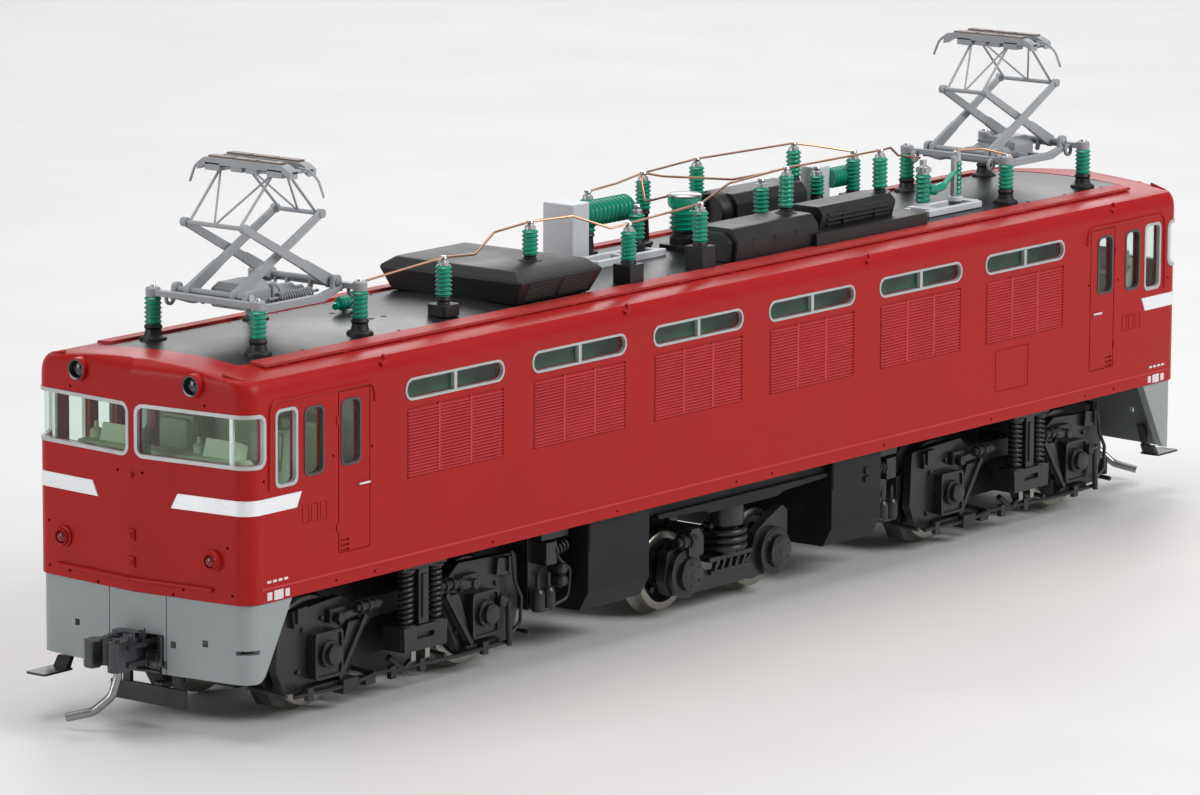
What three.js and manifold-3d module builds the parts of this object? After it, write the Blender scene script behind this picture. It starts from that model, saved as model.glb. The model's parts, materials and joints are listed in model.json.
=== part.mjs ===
// Model electric locomotive, 1:80 scale for 16.5 mm gauge track: an AC machine with two driven
// bogies and a carrying bogie in the middle. Millimetres, +X towards the rear cab, +Z up.
// Heights are written above the rail top; the whole group is then raised by the flange depth,
// so that the flanges stand on z = 0.
import * as THREE from "three";
import { mergeVertices } from "three/addons/utils/BufferGeometryUtils.js";
import Module from "manifold-3d";

const wasm = await Module();
wasm.setup();

// ---- driving dimensions -------------------------------------------------------------------
const FLANGE_DEPTH = 0.8;
const GAP = 0.3; // clearance between neighbouring pieces
const BODY = {
  nose: 105.2, // half length at the crease of the shallow V front
  corner: 103.5, // half length at the side
  half: 17.5, // half width
  bottom: 16.7,
  wall: 1.1,
  cornerRadius: 2.4,
  ridge: 44.4, // height of the roof's side edge
  crown: 45.7, // height of the roof in the middle
  ceiling: 43.3,
};
const ROOF_PANEL = { half: 10.95, end: 97.7, bottom: 44.8 };
const SKIRT = { bottom: 6.6, top: 16.4, wall: 1.2 };
const WINDOWS = { count: 6, pitch: 25.475, half: 9.4, low: 38.25, high: 40.55, mullion: 0.45 };
const LOUVRE = { low: 28.3, high: 36.95, from: -9.4, to: 9.7, depth: 0.3 };
const WINDSCREEN = { low: 33.9, high: 39.9, inner: 0.8, wrap: 100.6 };
const CAB_WINDOWS = [
  { x0: 94.5, x1: 98.6, z0: 31.0, z1: 40.2 },
  { x0: 89.4, x1: 93.1, z0: 31.4, z1: 40.0 },
  { x0: 82.4, x1: 86.0, z0: 31.7, z1: 40.0 },
];
const DOOR = { x0: 80.4, x1: 86.6, z0: 20.7, z1: 41.3 };
const HEADLIGHT = { y: 9.35, z: 43.35, r: 1.0 };
const TAIL_LAMP = { y: 12.7, z: 21.7, r: 0.75 };
const DRIVE_BOGIE = { x: 68, halfBase: 15.625, wheel: 7.0 };
const CENTRE_BOGIE = { halfBase: 10, wheel: 5.375 };
const WHEEL = { back: 7.2, face: 9.9, axle: 1.0, axleEnd: 12.0 };
const WORM = { z: 14.5, tip: 2.35, gearTip: 5.0, gearRoot: 4.2, teeth: 20, half: 23 };
const MOTOR = { z: 22.7, half: 15, y: 8.5, low: 15.3, high: 30.1, shaft: 1.1, shaftEnd: 25.5 };
const COUPLER = { pivot: 95.5, face: 111.875, z: 9.4 };
const DECK = 45.8; // where roof fittings stand, just clear of the roof panel
const PANTO = {
  x: 81.5,
  pivot: { x: 8.4, z: 51.9 },
  elbow: { x: 8.0, z: 60.4 },
  head: { x: 1.75, z: 66.6 },
  leg: 0.22, // radius of the upper frames' legs
  outer: 4.85, // half width between the bars of the wider lower arm
  inner: 3.75, // the same for the arm that crosses inside it
  stand: { x: 9.8, y: 8.6 },
};

// ---- shape helpers --------------------------------------------------------------------------
// A closed three.js geometry as a solid that can be joined and cut.
function solid(geometry) {
  const loose = geometry.index ? geometry.toNonIndexed() : geometry;
  const bare = new THREE.BufferGeometry();
  bare.setAttribute("position", loose.getAttribute("position"));
  const merged = mergeVertices(bare, 1e-4);
  const index = merged.index.array;
  const corners = [];
  for (let i = 0; i < index.length; i += 3) {
    const [a, b, c] = [index[i], index[i + 1], index[i + 2]];
    if (a !== b && b !== c && a !== c) corners.push(a, b, c);
  }
  return new wasm.Manifold(
    new wasm.Mesh({
      numProp: 3,
      vertProperties: merged.attributes.position.array,
      triVerts: new Uint32Array(corners),
    }),
  );
}

const join = (...pieces) => pieces.flat().reduce((a, b) => a.add(b));
const cut = (piece, ...tools) => tools.flat().reduce((a, b) => a.subtract(b), piece);
const both = (make) => [make(-1), make(1)];

function block(x0, x1, y0, y1, z0, z1) {
  const g = new THREE.BoxGeometry(Math.abs(x1 - x0), Math.abs(y1 - y0), Math.abs(z1 - z0));
  g.translate((x0 + x1) / 2, (y0 + y1) / 2, (z0 + z1) / 2);
  return solid(g);
}

// A straight round bar between two points.
function rod(from, to, radius, sides = 8) {
  const a = new THREE.Vector3(...from);
  const b = new THREE.Vector3(...to);
  const along = b.clone().sub(a);
  const g = new THREE.CylinderGeometry(radius, radius, along.length(), sides);
  const turn = new THREE.Quaternion();
  turn.setFromUnitVectors(new THREE.Vector3(0, 1, 0), along.clone().normalize());
  g.applyQuaternion(turn);
  g.translate(...a.add(b).multiplyScalar(0.5).toArray());
  return solid(g);
}

// A flat bar lying in a plane of constant y: `width` across its length, `depth` along Y.
function bar(from, to, y, width, depth) {
  const length = Math.hypot(to[0] - from[0], to[1] - from[1]);
  const g = new THREE.BoxGeometry(length + width, depth, width);
  g.rotateY(-Math.atan2(to[1] - from[1], to[0] - from[0]));
  g.translate((from[0] + to[0]) / 2, y, (from[1] + to[1]) / 2);
  return solid(g);
}

// A bent wire: straight rods that run a little past each bend, so that they join there.
function wire(points, radius, sides = 5) {
  const runs = points.slice(1).map((point, i) => {
    const from = new THREE.Vector3(...points[i]);
    const to = new THREE.Vector3(...point);
    const past = to.clone().sub(from).setLength(radius * 0.6);
    return rod(from.sub(past).toArray(), to.add(past).toArray(), radius, sides);
  });
  return join(runs);
}

// Replaces each corner of an outline by an arc of the given radius.
function rounded(points, radii, steps = 3) {
  const out = [];
  points.forEach((point, i) => {
    const r = Array.isArray(radii) ? radii[i] : radii;
    const p = new THREE.Vector2(...point);
    const before = new THREE.Vector2(...points.at(i - 1)).sub(p).normalize();
    const after = new THREE.Vector2(...points[(i + 1) % points.length]).sub(p).normalize();
    const half = Math.acos(before.dot(after)) / 2;
    if (r < 1e-3 || half > 1.55) {
      out.push(point);
      return;
    }
    const centre = before.clone().add(after).setLength(r / Math.sin(half)).add(p);
    const start = before.multiplyScalar(r / Math.tan(half)).add(p).sub(centre);
    const end = after.multiplyScalar(r / Math.tan(half)).add(p).sub(centre);
    const sweep = Math.atan2(start.cross(end), start.dot(end));
    for (let k = 0; k <= steps; k += 1) {
      const at = start.clone().rotateAround(new THREE.Vector2(), (sweep * k) / steps).add(centre);
      out.push([at.x, at.y]);
    }
  });
  return out;
}

const rectangle = (a0, a1, b0, b1) => [[a0, b0], [a1, b0], [a1, b1], [a0, b1]];
const mirrored = (half) => [...half, ...half.map(([a, b]) => [-a, b]).reverse()];

function extruded(outline, depth) {
  const shape = new THREE.Shape(outline.map(([a, b]) => new THREE.Vector2(a, b)));
  return new THREE.ExtrudeGeometry(shape, { depth, bevelEnabled: false });
}

// Outline in (x, y), standing along Z.
function plateXY(outline, z0, z1) {
  const g = extruded(outline, z1 - z0);
  g.translate(0, 0, z0);
  return solid(g);
}

// Outline in (x, z), running along Y.
function plateXZ(outline, y0, y1) {
  const g = extruded(outline, Math.abs(y1 - y0));
  g.rotateX(Math.PI / 2);
  g.translate(0, Math.max(y0, y1), 0);
  return solid(g);
}

// Outline in (y, z), running along X.
function plateYZ(outline, x0, x1) {
  const g = extruded(outline, x1 - x0);
  const basis = new THREE.Matrix4().makeBasis(
    new THREE.Vector3(0, 1, 0),
    new THREE.Vector3(0, 0, 1),
    new THREE.Vector3(1, 0, 0),
  );
  g.applyMatrix4(basis);
  g.translate(x0, 0, 0);
  return solid(g);
}

// A profile of (radius, distance along the axis) turned about an axis through `centre`.
function turned(profile, axis, centre, segments = 12) {
  const points = profile.map(([r, h]) => new THREE.Vector2(r, h));
  const g = new THREE.LatheGeometry(points, segments);
  if (axis === "x") g.rotateZ(-Math.PI / 2);
  if (axis === "z") g.rotateX(Math.PI / 2);
  g.translate(...centre);
  return solid(g);
}

// A ribbed insulator on a black foot, standing on z0, with a metal cap on top.
function insulator(x, y, z0, height, radius = 1.15, ribs = 2, segments = 6) {
  const foot = height * 0.2;
  const cap = height * 0.1;
  const pitch = (height - foot - cap) / ribs;
  const profile = [[0, 0], [radius * 1.3, 0], [radius * 1.1, foot]];
  for (let i = 0; i < ribs; i += 1) {
    profile.push([radius, foot + pitch * (i + 0.3)]);
    profile.push([radius * 0.72, foot + pitch * (i + 0.9)]);
  }
  profile.push([radius * 0.6, height], [0, height]);
  return turned(profile, "z", [x, y, z0], segments);
}

// ---- body shell -----------------------------------------------------------------------------
function bodyPlan(inset) {
  const nose = BODY.nose - inset;
  const corner = BODY.corner - inset;
  const half = BODY.half - inset;
  const r = Math.max(BODY.cornerRadius - inset, 0.5);
  const points = [
    [-nose, 0], [-corner, -half], [corner, -half], [nose, 0], [corner, half], [-corner, half],
  ];
  return rounded(points, [0, r, r, 0, r, r], 2);
}

// A vertical band that follows the body's outline, between two insets.
function bodyLayer(outer, inner, z0, z1) {
  return cut(plateXY(bodyPlan(outer), z0, z1), plateXY(bodyPlan(inner), z0 - 1, z1 + 1));
}

function sideWindowOutlines() {
  const outlines = [];
  for (let i = 0; i < WINDOWS.count; i += 1) {
    const centre = WINDOWS.pitch * (i - (WINDOWS.count - 1) / 2);
    const r = (WINDOWS.high - WINDOWS.low) / 2 - 0.05;
    for (const side of [-1, 1]) {
      const near = centre + side * WINDOWS.mullion;
      const far = centre + side * WINDOWS.half;
      const points = rectangle(Math.min(near, far), Math.max(near, far), WINDOWS.low, WINDOWS.high);
      const leftIsRound = side < 0;
      const radii = [leftIsRound, !leftIsRound, !leftIsRound, leftIsRound].map((on) => (on ? r : 0));
      outlines.push(rounded(points, radii, 2));
    }
  }
  return outlines;
}

function cabWindowOutline(w, end, shrink = 0) {
  const xs = [end * w.x0, end * w.x1].sort((a, b) => a - b);
  const points = rectangle(xs[0] + shrink, xs[1] - shrink, w.z0 + shrink, w.z1 - shrink);
  return rounded(points, 0.8, 1);
}

function windscreenOpening(end, side, shrink = 0) {
  const near = side * (WINDSCREEN.inner + shrink);
  const far = side * (BODY.half + 1);
  const ys = [near, far].sort((a, b) => a - b);
  const points = rectangle(ys[0], ys[1], WINDSCREEN.low + shrink, WINDSCREEN.high - shrink);
  const xs = [end * (WINDSCREEN.wrap + shrink), end * (BODY.nose + 1)].sort((a, b) => a - b);
  return plateYZ(rounded(points, 1.2, 1), xs[0], xs[1]);
}

function bodyShell() {
  const roofHalf = [
    [BODY.half, BODY.bottom], [BODY.half, 43.0], [17.2, 43.9], [16.5, BODY.ridge],
    [11.9, 45.1], [7, 45.55], [1, BODY.crown],
  ];
  const outside = plateYZ(mirrored(roofHalf), -BODY.nose - 1, BODY.nose + 1);
  let shell = plateXY(bodyPlan(0), BODY.bottom, BODY.crown).intersect(outside);
  shell = cut(shell, plateXY(bodyPlan(BODY.wall), BODY.bottom - 1, BODY.ceiling));
  const recess = ROOF_PANEL.half + 0.25;
  shell = cut(
    shell,
    block(-ROOF_PANEL.end - 0.25, ROOF_PANEL.end + 0.25, -recess, recess, ROOF_PANEL.bottom - GAP, 47),
  );

  const panes = sideWindowOutlines().map((o) => plateXZ(o, -BODY.half - 1, BODY.half + 1));
  const louvres = [];
  for (let i = 0; i < WINDOWS.count; i += 1) {
    const centre = WINDOWS.pitch * (i - (WINDOWS.count - 1) / 2);
    for (const side of [-1, 1]) {
      const surface = side * BODY.half;
      louvres.push(
        block(centre + LOUVRE.from, centre + LOUVRE.to, surface - side * LOUVRE.depth, surface + side,
          LOUVRE.low, LOUVRE.high),
      );
    }
  }
  shell = cut(shell, panes, louvres);

  for (const end of [-1, 1]) {
    const openings = CAB_WINDOWS.map((w) =>
      plateXZ(cabWindowOutline(w, end), -BODY.half - 1, BODY.half + 1),
    );
    const lamps = both((side) => [
      rod([end * 100, side * HEADLIGHT.y, HEADLIGHT.z], [end * 106, side * HEADLIGHT.y, HEADLIGHT.z],
        HEADLIGHT.r + GAP),
      rod([end * 100, side * TAIL_LAMP.y, TAIL_LAMP.z], [end * 106, side * TAIL_LAMP.y, TAIL_LAMP.z],
        TAIL_LAMP.r + GAP),
    ]).flat();
    const screens = both((side) => windscreenOpening(end, side));
    const doorSeams = both((side) => {
      const surface = side * BODY.half;
      const outer = block(end * DOOR.x0, end * DOOR.x1, surface - side * 0.2, surface + side,
        DOOR.z0, DOOR.z1);
      const leaf = block(end * (DOOR.x0 + 0.25), end * (DOOR.x1 - 0.25), surface - side * 0.5,
        surface + side, DOOR.z0 + 0.25, DOOR.z1 - 0.25);
      return cut(outer, leaf);
    });
    shell = cut(shell, openings, lamps, screens, doorSeams);
    const gutters = both((side) =>
      block(end * 79.5, end * 99, side * (BODY.half - 0.4), side * (BODY.half + 0.3), 41.3, 41.7),
    );
    const ledge = block(end * 104, end * 104.9, -12.9, 12.9, 18.1, 18.5);
    shell = join(shell, gutters, ledge);
  }
  const sills = both((side) =>
    block(-99, 99, side * (BODY.half - 0.4), side * (BODY.half + 0.2), 18.3, 18.6),
  );
  const boards = both((side) => block(-96, 96, side * 11.6, side * 13.6, 44.7, 45.4));
  return join(shell, sills, boards);
}

function roofPanel() {
  const arch = [[ROOF_PANEL.half, ROOF_PANEL.bottom], [ROOF_PANEL.half, 45.28], [6, 45.58]];
  return plateYZ(mirrored(arch), -ROOF_PANEL.end, ROOF_PANEL.end);
}

// The buffer-beam skirt under the front cab; its sides slope back towards the bogie.
function skirt() {
  let shell = bodyLayer(0, SKIRT.wall, SKIRT.bottom, SKIRT.top);
  const keep = [
    [-107, SKIRT.bottom - 1], [-101.6, SKIRT.bottom - 1], [-99.9, 7.8], [-95.2, SKIRT.top + 0.1],
    [-107, SKIRT.top + 0.1],
  ];
  shell = shell.intersect(plateXZ(keep, -18, 18));
  const mouth = block(-107, -100, -3.3, 3.3, 7.4, 11.9);
  const lugs = both((side) => block(-103, -100.5, side * 12, side * 16.8, 14.2, SKIRT.top));
  const sockets = [[8.7, 11.4], [-6.0, 11.2], [-10.8, 11.5]].map(([y, z]) =>
    block(-107, -100.5, y - 0.4, y + 0.4, z - 0.4, z + 0.4),
  );
  const step = join(
    block(-106.8, -103.6, 10.6, 15.4, 4.6, 5.1),
    block(-103.9, -102.4, 12.4, 13.6, 4.6, 8.4),
  );
  return join(cut(shell, mouth, sockets), lugs, step);
}

// ---- glazing, lamps and interiors -------------------------------------------------------------
function cabGlazing() {
  const band = bodyLayer(1.4, 1.9, 30.4, 40.9).intersect(block(-107, -79.2, -18, 18, 30, 41));
  const thick = bodyLayer(0.35, 1.6, 30.4, 40.9);
  const panes = both((side) => windscreenOpening(-1, side, GAP)).map((p) => p.intersect(thick));
  for (const w of CAB_WINDOWS) {
    const outline = cabWindowOutline(w, -1, GAP);
    panes.push(...both((side) => plateXZ(outline, side * 17.15, side * 15.9)));
  }
  return join(band, panes);
}

function sideGlazing(side) {
  const strip = block(-75, 75, side * 15.6, side * 16.1, 37.4, 41.3);
  const panes = sideWindowOutlines().map((outline) => {
    const xs = outline.map(([x]) => x);
    const zs = outline.map(([, z]) => z);
    const mid = [(Math.min(...xs) + Math.max(...xs)) / 2, (Math.min(...zs) + Math.max(...zs)) / 2];
    const shrinkX = 1 - (2 * GAP) / (Math.max(...xs) - Math.min(...xs));
    const shrinkZ = 1 - (2 * GAP) / (Math.max(...zs) - Math.min(...zs));
    const small = outline.map(([x, z]) => [
      mid[0] + (x - mid[0]) * shrinkX,
      mid[1] + (z - mid[1]) * shrinkZ,
    ]);
    return plateXZ(small, side * 16.0, side * 17.15);
  });
  return join(strip, panes);
}

// Clear light guide: lenses joined by a stem that runs down behind the crease of the front.
function lightGuide() {
  const stubs = both((side) => [
    rod([-102.2, side * HEADLIGHT.y, HEADLIGHT.z], [-104.9, side * HEADLIGHT.y, HEADLIGHT.z],
      HEADLIGHT.r),
    block(-102.9, -102.2, side * (HEADLIGHT.y - 0.6), side * (HEADLIGHT.y + 0.6), 42, 43.2),
    rod([-101.9, side * TAIL_LAMP.y, TAIL_LAMP.z], [-105, side * TAIL_LAMP.y, TAIL_LAMP.z],
      TAIL_LAMP.r),
  ]).flat();
  return join(
    stubs,
    block(-102.9, -102.1, -9.9, 9.9, 42, 42.9),
    block(-102.9, -102.1, -0.5, 0.5, 21.2, 42.5),
    block(-102.6, -101.8, -13.2, 13.2, 21.2, 22.2),
  );
}

function cabInterior() {
  const floor = block(-100, -79.8, -14.8, 14.8, 26, 27);
  const bulkhead = block(-80.6, -79.6, -15.2, 15.2, 20.5, 41.5);
  const deskOutline = [[-100.6, 26.5], [-96.4, 26.5], [-96.4, 32.2], [-98, 33.6], [-100.6, 33.6]];
  const desk = plateXZ(deskOutline, -13, 13);
  const seats = both((side) =>
    plateXZ([[-92, 26.5], [-87, 26.5], [-87, 35.5], [-88, 35.5], [-88.6, 30.4], [-92, 30.4]],
      side * 5, side * 10),
  );
  const locker = block(-84.5, -80, -4.5, 4.5, 26.5, 38);
  return join(floor, bulkhead, desk, seats, locker);
}

function machineRoomLiner() {
  return cut(block(-76, 76, -13.6, 13.6, 36.9, 42.6), block(-77, 77, -13, 13, 36, 42));
}

function circuitBoard() {
  return join(
    block(-58, 58, -9.4, 9.4, 34.6, 35.6),
    block(-8, 4, -3, 3, 35.4, 37.2),
    both((side) => block(side * 30, side * 36, -4, 4, 35.4, 37)),
  );
}

// ---- chassis and drive ------------------------------------------------------------------------
function chassisFrame() {
  let frame = block(-100, 100, -15.8, 15.8, 17, 19);
  frame = cut(frame, block(-25.8, 25.8, -9.3, 9.3, 16, 20), block(-50, 50, -3.2, 3.2, 16, 20));
  for (const end of [-1, 1]) {
    const x = end * DRIVE_BOGIE.x;
    frame = cut(frame, block(x - 24.2, x + 24.2, -7.1, 7.1, 16, 20));
    const pivotHole = rod([x, 0, 18], [x, 0, 25], 1.8, 16);
    const legs = both((side) => block(x - 3, x + 3, side * 7.2, side * 9.2, 18.5, 22.4));
    const bridge = cut(block(x - 3, x + 3, -9.2, 9.2, 20.6, 22.4), pivotHole);
    const draftBox = join(
      block(end * 92.5, end * 98.5, -5, 5, 10.7, 17.5),
      rod([end * COUPLER.pivot, 0, 7.6], [end * COUPLER.pivot, 0, 11], 0.9, 10),
    );
    frame = join(frame, legs, bridge, draftBox);
  }
  const weights = both((side) => block(-60, 60, side * 10.2, side * 15.2, 18.5, 34));
  const guides = both((side) => [
    block(side * 6.4, side * 7.6, -10.8, 10.8, 12.6, 14.8),
    block(side * 6.4, side * 7.6, -10.8, -9.6, 14, 17.5),
    block(side * 6.4, side * 7.6, 9.6, 10.8, 14, 17.5),
  ]).flat();
  return join(frame, weights, guides);
}

function motorCasing() {
  const { y, low, high, half } = MOTOR;
  const can = plateYZ(rounded(rectangle(-y, y, low, high), 3, 2), -half, half);
  const chamber = rod([-12, 0, MOTOR.z], [12, 0, MOTOR.z], 6.5, 16);
  const bore = rod([-half - 1, 0, MOTOR.z], [half + 1, 0, MOTOR.z], MOTOR.shaft + GAP, 12);
  return cut(can, chamber, bore);
}

function motorRotor() {
  const half = [
    [0, MOTOR.shaftEnd], [MOTOR.shaft, MOTOR.shaftEnd], [MOTOR.shaft, 24], [6.8, 24], [6.8, 16.2],
    [MOTOR.shaft, 16.2], [MOTOR.shaft, 11], [6.0, 11],
  ];
  const profile = [...half.map(([r, h]) => [r, -h]), ...half.slice().reverse()];
  return turned(profile, "x", [0, 0, MOTOR.z], 16);
}

// The worm shaft lies along the driven bogie, with one worm over each axle.
function wormShaft() {
  const shaft = rod([-WORM.half, 0, WORM.z], [WORM.half, 0, WORM.z], 1.0, 10);
  const worms = both((side) => {
    const profile = [[0, -3.2], [WORM.tip, -3.2]];
    for (let i = 0; i < 3; i += 1) {
      profile.push([WORM.tip, -2.2 + i * 2.2], [WORM.tip - 0.6, -1.6 + i * 2.2]);
    }
    profile.push([WORM.tip, 3.2], [0, 3.2]);
    return turned(profile, "x", [side * DRIVE_BOGIE.halfBase, 0, WORM.z], 8);
  });
  return join(shaft, worms);
}

// The jointed shaft between the motor and a worm shaft; it slopes down towards the bogie.
const CARDAN_FROM = [MOTOR.shaftEnd + 0.9, 0, MOTOR.z - 0.2];
const CARDAN_TO = [DRIVE_BOGIE.x - WORM.half - 1.0, 0, WORM.z + 0.3];
function cardanShaft() {
  const tip = (p, q, length) => {
    const a = new THREE.Vector3(...p);
    return a.clone().add(new THREE.Vector3(...q).sub(a).setLength(length)).toArray();
  };
  return join(
    rod(CARDAN_FROM, CARDAN_TO, 0.8, 8),
    rod(CARDAN_FROM, tip(CARDAN_FROM, CARDAN_TO, 2.6), 1.5, 10),
    rod(CARDAN_TO, tip(CARDAN_TO, CARDAN_FROM, 2.6), 1.5, 10),
  );
}

function gearbox() {
  const shellOutline = mirrored([[21.7, 2.2], [21.7, 17.4], [20.7, 18.4]]);
  const innerOutline = rectangle(-20.9, 20.9, 1, 17.4);
  const axles = both((side) =>
    rod([side * DRIVE_BOGIE.halfBase, -5, DRIVE_BOGIE.wheel],
      [side * DRIVE_BOGIE.halfBase, 5, DRIVE_BOGIE.wheel], WHEEL.axle + GAP),
  );
  const shaftBore = rod([-22, 0, WORM.z], [22, 0, WORM.z], 1.35, 10);
  const pin = rod([0, 0, 18], [0, 0, 23.4], 1.5, 12);
  return join(
    cut(plateXZ(shellOutline, -3.4, 3.4), plateXZ(innerOutline, -2.7, 2.7), axles, shaftBore),
    pin,
  );
}

// Both wheels on one axle, turned in one piece; a driven axle carries its worm gear too.
function wheelset(radius, driven) {
  const tyre = [
    [0, WHEEL.axleEnd], [WHEEL.axle, WHEEL.axleEnd], [WHEEL.axle, 9.4], [radius - 1.5, 9.4],
    [radius - 1.2, WHEEL.face], [radius, WHEEL.face], [radius + 0.1, 8.1], [radius + FLANGE_DEPTH, 7.75],
    [radius + FLANGE_DEPTH, 7.4], [WHEEL.axle, WHEEL.back],
  ];
  const profile = [...tyre.map(([r, h]) => [r, -h]), ...tyre.slice().reverse()];
  const turnedSet = turned(profile, "y", [0, 0, 0], 12);
  if (!driven) return turnedSet;
  const outline = [];
  for (let i = 0; i < WORM.teeth; i += 1) {
    for (const [r, step] of [[WORM.gearRoot, 0], [WORM.gearTip, 0.5]]) {
      const angle = ((i + step) / WORM.teeth) * 2 * Math.PI;
      outline.push([r * Math.cos(angle), r * Math.sin(angle)]);
    }
  }
  return join(turnedSet, plateXZ(outline, -1.1, 1.1));
}

function driveBogieFrame() {
  const parts = [];
  for (const side of [-1, 1]) {
    const beam = [
      [-21.5, 9.6], [-19.8, 6.6], [-11.4, 6.6], [-9.4, 9.2], [9.4, 9.2], [11.4, 6.6], [19.8, 6.6],
      [21.5, 9.6], [20.6, 12.6], [11.8, 13.2], [9.4, 12], [-9.4, 12], [-11.8, 13.2], [-20.6, 12.6],
    ];
    parts.push(plateXZ(beam, side * 11, side * 12.6));
    for (const end of [-1, 1]) {
      const x = end * DRIVE_BOGIE.halfBase;
      parts.push(block(x - 3, x + 3, side * 11, side * 13.2, 3.6, 10.6));
      parts.push(rod([x, side * 13, DRIVE_BOGIE.wheel], [x, side * 14, DRIVE_BOGIE.wheel], 2.0));
      parts.push(rod([end * 2.9, side * 15.3, 8], [end * 2.9, side * 15.3, 16.3], 1.05));
    }
    parts.push(block(-4.6, 4.6, side * 11.4, side * 16.4, 6.6, 8.4));
    parts.push(block(-5.2, 5.2, side * 11.2, side * 12.4, 8, 10));
  }
  const transoms = both((end) => block(end * 5, end * 7.4, -11.4, 11.4, 8.6, 11.6));
  const towerSlot = block(-22, 22, -3.7, 3.7, 0, 20);
  const ties = both((side) => block(-7.4, 7.4, side * 3.7, side * 5.2, 8.6, 11.6));
  const blindHoles = both((side) =>
    both((end) =>
      rod([end * DRIVE_BOGIE.halfBase, side * 10, DRIVE_BOGIE.wheel],
        [end * DRIVE_BOGIE.halfBase, side * 12.4, DRIVE_BOGIE.wheel], WHEEL.axle + GAP),
    ),
  ).flat();
  const bridge = both((end) => block(end * 5, end * 7.4, -4.5, 4.5, 0.9, 1.8));
  const posts = both((end) =>
    both((side) => block(end * 5, end * 7.4, side * 3.7, side * 4.9, 0.9, 9)),
  ).flat();
  return join(cut(join(parts, transoms), towerSlot, blindHoles), ties, posts, bridge);
}

function centreBogieFrame() {
  const { halfBase, wheel } = CENTRE_BOGIE;
  const parts = [];
  for (const side of [-1, 1]) {
    const cradle = [
      [-13.4, 3.2], [-8, 2.2], [8, 2.2], [13.4, 3.2], [13.6, 9.4], [8.6, 9.4], [5, 4.8], [-5, 4.8],
      [-8.6, 9.4], [-13.6, 9.4],
    ];
    parts.push(plateXZ(cradle, side * 11, side * 12.8));
    for (const end of [-1, 1]) {
      parts.push(rod([end * halfBase, side * 11, wheel], [end * halfBase, side * 15, wheel], 2.9, 12));
    }
    parts.push(rod([0, side * 12.6, 4.6], [0, side * 12.6, 11.6], 3.1, 12));
    parts.push(rod([0, side * 12.6, 11.2], [0, side * 12.6, 13.6], 2.2));
  }
  const transom = block(-2.8, 2.8, -11.6, 11.6, 5.4, 9.4);
  const boss = rod([0, 0, 9], [0, 0, 12.5], 2.4, 12);
  const blindHoles = both((side) =>
    both((end) =>
      rod([end * halfBase, side * 10, wheel], [end * halfBase, side * 12.4, wheel], WHEEL.axle + GAP),
    ),
  ).flat();
  return join(cut(join(parts, transom), blindHoles), boss);
}

function centreBolster() {
  const wings = both((side) => block(-2, 2, side * 6, side * 9, 12.9, 14.7));
  return join(block(-6, 6, -7, 7, 12.9, 14.7), wings);
}

// Under-floor equipment of one side: two deep tanks hung from a long duct. The tanks reach in
// to the middle, with a step under the flywheels.
function equipment() {
  const [front, rear] = [{ x0: -34.7, x1: -21.6 }, { x0: 19.4, x1: 30.9 }];
  const tank = ({ x0, x1 }) => {
    const step = [[-1, 14.8], [-9, 14.8]];
    const profile = [[-16.4, 7], [-15, 4.5], [-1, 4.5], ...step, [-9, 16.6], [-16.4, 16.6]];
    return plateYZ(profile, x0, x1);
  };
  const duct = block(front.x0, rear.x1, -15.4, -12.2, 14.6, 16.6);
  return join(tank(front), tank(rear), duct);
}

// ---- couplers -----------------------------------------------------------------------------------
function coupler() {
  const { pivot, face, z } = COUPLER;
  const shank = block(-106.5, -pivot, -1.2, 1.2, z - 1, z + 1);
  const eye = cut(
    join(rod([-pivot, 0, z - 1], [-pivot, 0, z + 1], 2.2, 14), shank),
    rod([-pivot, 0, z - 2], [-pivot, 0, z + 2], 1.2, 12),
  );
  const headOutline = [[-105.8, -2.2], [-105.8, 2.0], [-107.6, 2.0], [-107.6, -0.4], [-109.4, -1.2],
    [-face, -1.2], [-face, -3.0], [-108, -3.0]];
  const head = plateXY(headOutline, z - 1.9, z + 1.9);
  const pin = wire(
    [[-106.8, 0.6, 8.2], [-107.2, 0.9, 4.6], [-108.2, 2.2, 2.4], [-109.4, 4.2, 1.2], [-110.6, 6.4, 0.7]],
    0.42,
    6,
  );
  return join(eye, head, pin);
}

function knuckle() {
  const { z } = COUPLER;
  const jaw = [[-107.95, 0.1], [-107.95, 2.0], [-109.6, 3.0], [-111.2, 3.0], [-COUPLER.face, 2.0],
    [-COUPLER.face, 0.9], [-110.6, 0.5], [-109.8, 1.2], [-109, 0.1]];
  return plateXY(jaw, z - 1.7, z + 1.7);
}

// ---- roof equipment ---------------------------------------------------------------------------
function frontHood() {
  return plateYZ(mirrored([[10.3, DECK], [12.0, 48.5], [10.2, 49.8]]), -43.3, -26);
}

// Near-side hoods: a rounded box and a louvred box on a stepped base.
function rearHood() {
  const low = plateYZ([[-11.4, DECK], [-11.6, 48.6], [-10.4, 50], [-4.4, 50], [-3.6, DECK]], 3.4, 22.6);
  const step = block(21.5, 47.7, -12, -3.6, DECK, 47.1);
  const high = plateYZ([[-9.6, 46.8], [-10.2, 49.2], [-9.2, 50.2], [-4.4, 50.2], [-3.9, 46.8]], 24.5, 42.6);
  const grille = [0, 1, 2].map((i) => block(26.5, 41, -11, -9.75, 47.5 + i * 0.7, 47.85 + i * 0.7));
  return join(low, step, cut(high, grille));
}

function farHood() {
  const outline = [[23, DECK], [22.4, 48.5], [23.4, 50.6], [25, 51], [40.5, 51], [40.5, DECK]];
  return plateXZ(outline, 3.4, 10.6);
}

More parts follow.
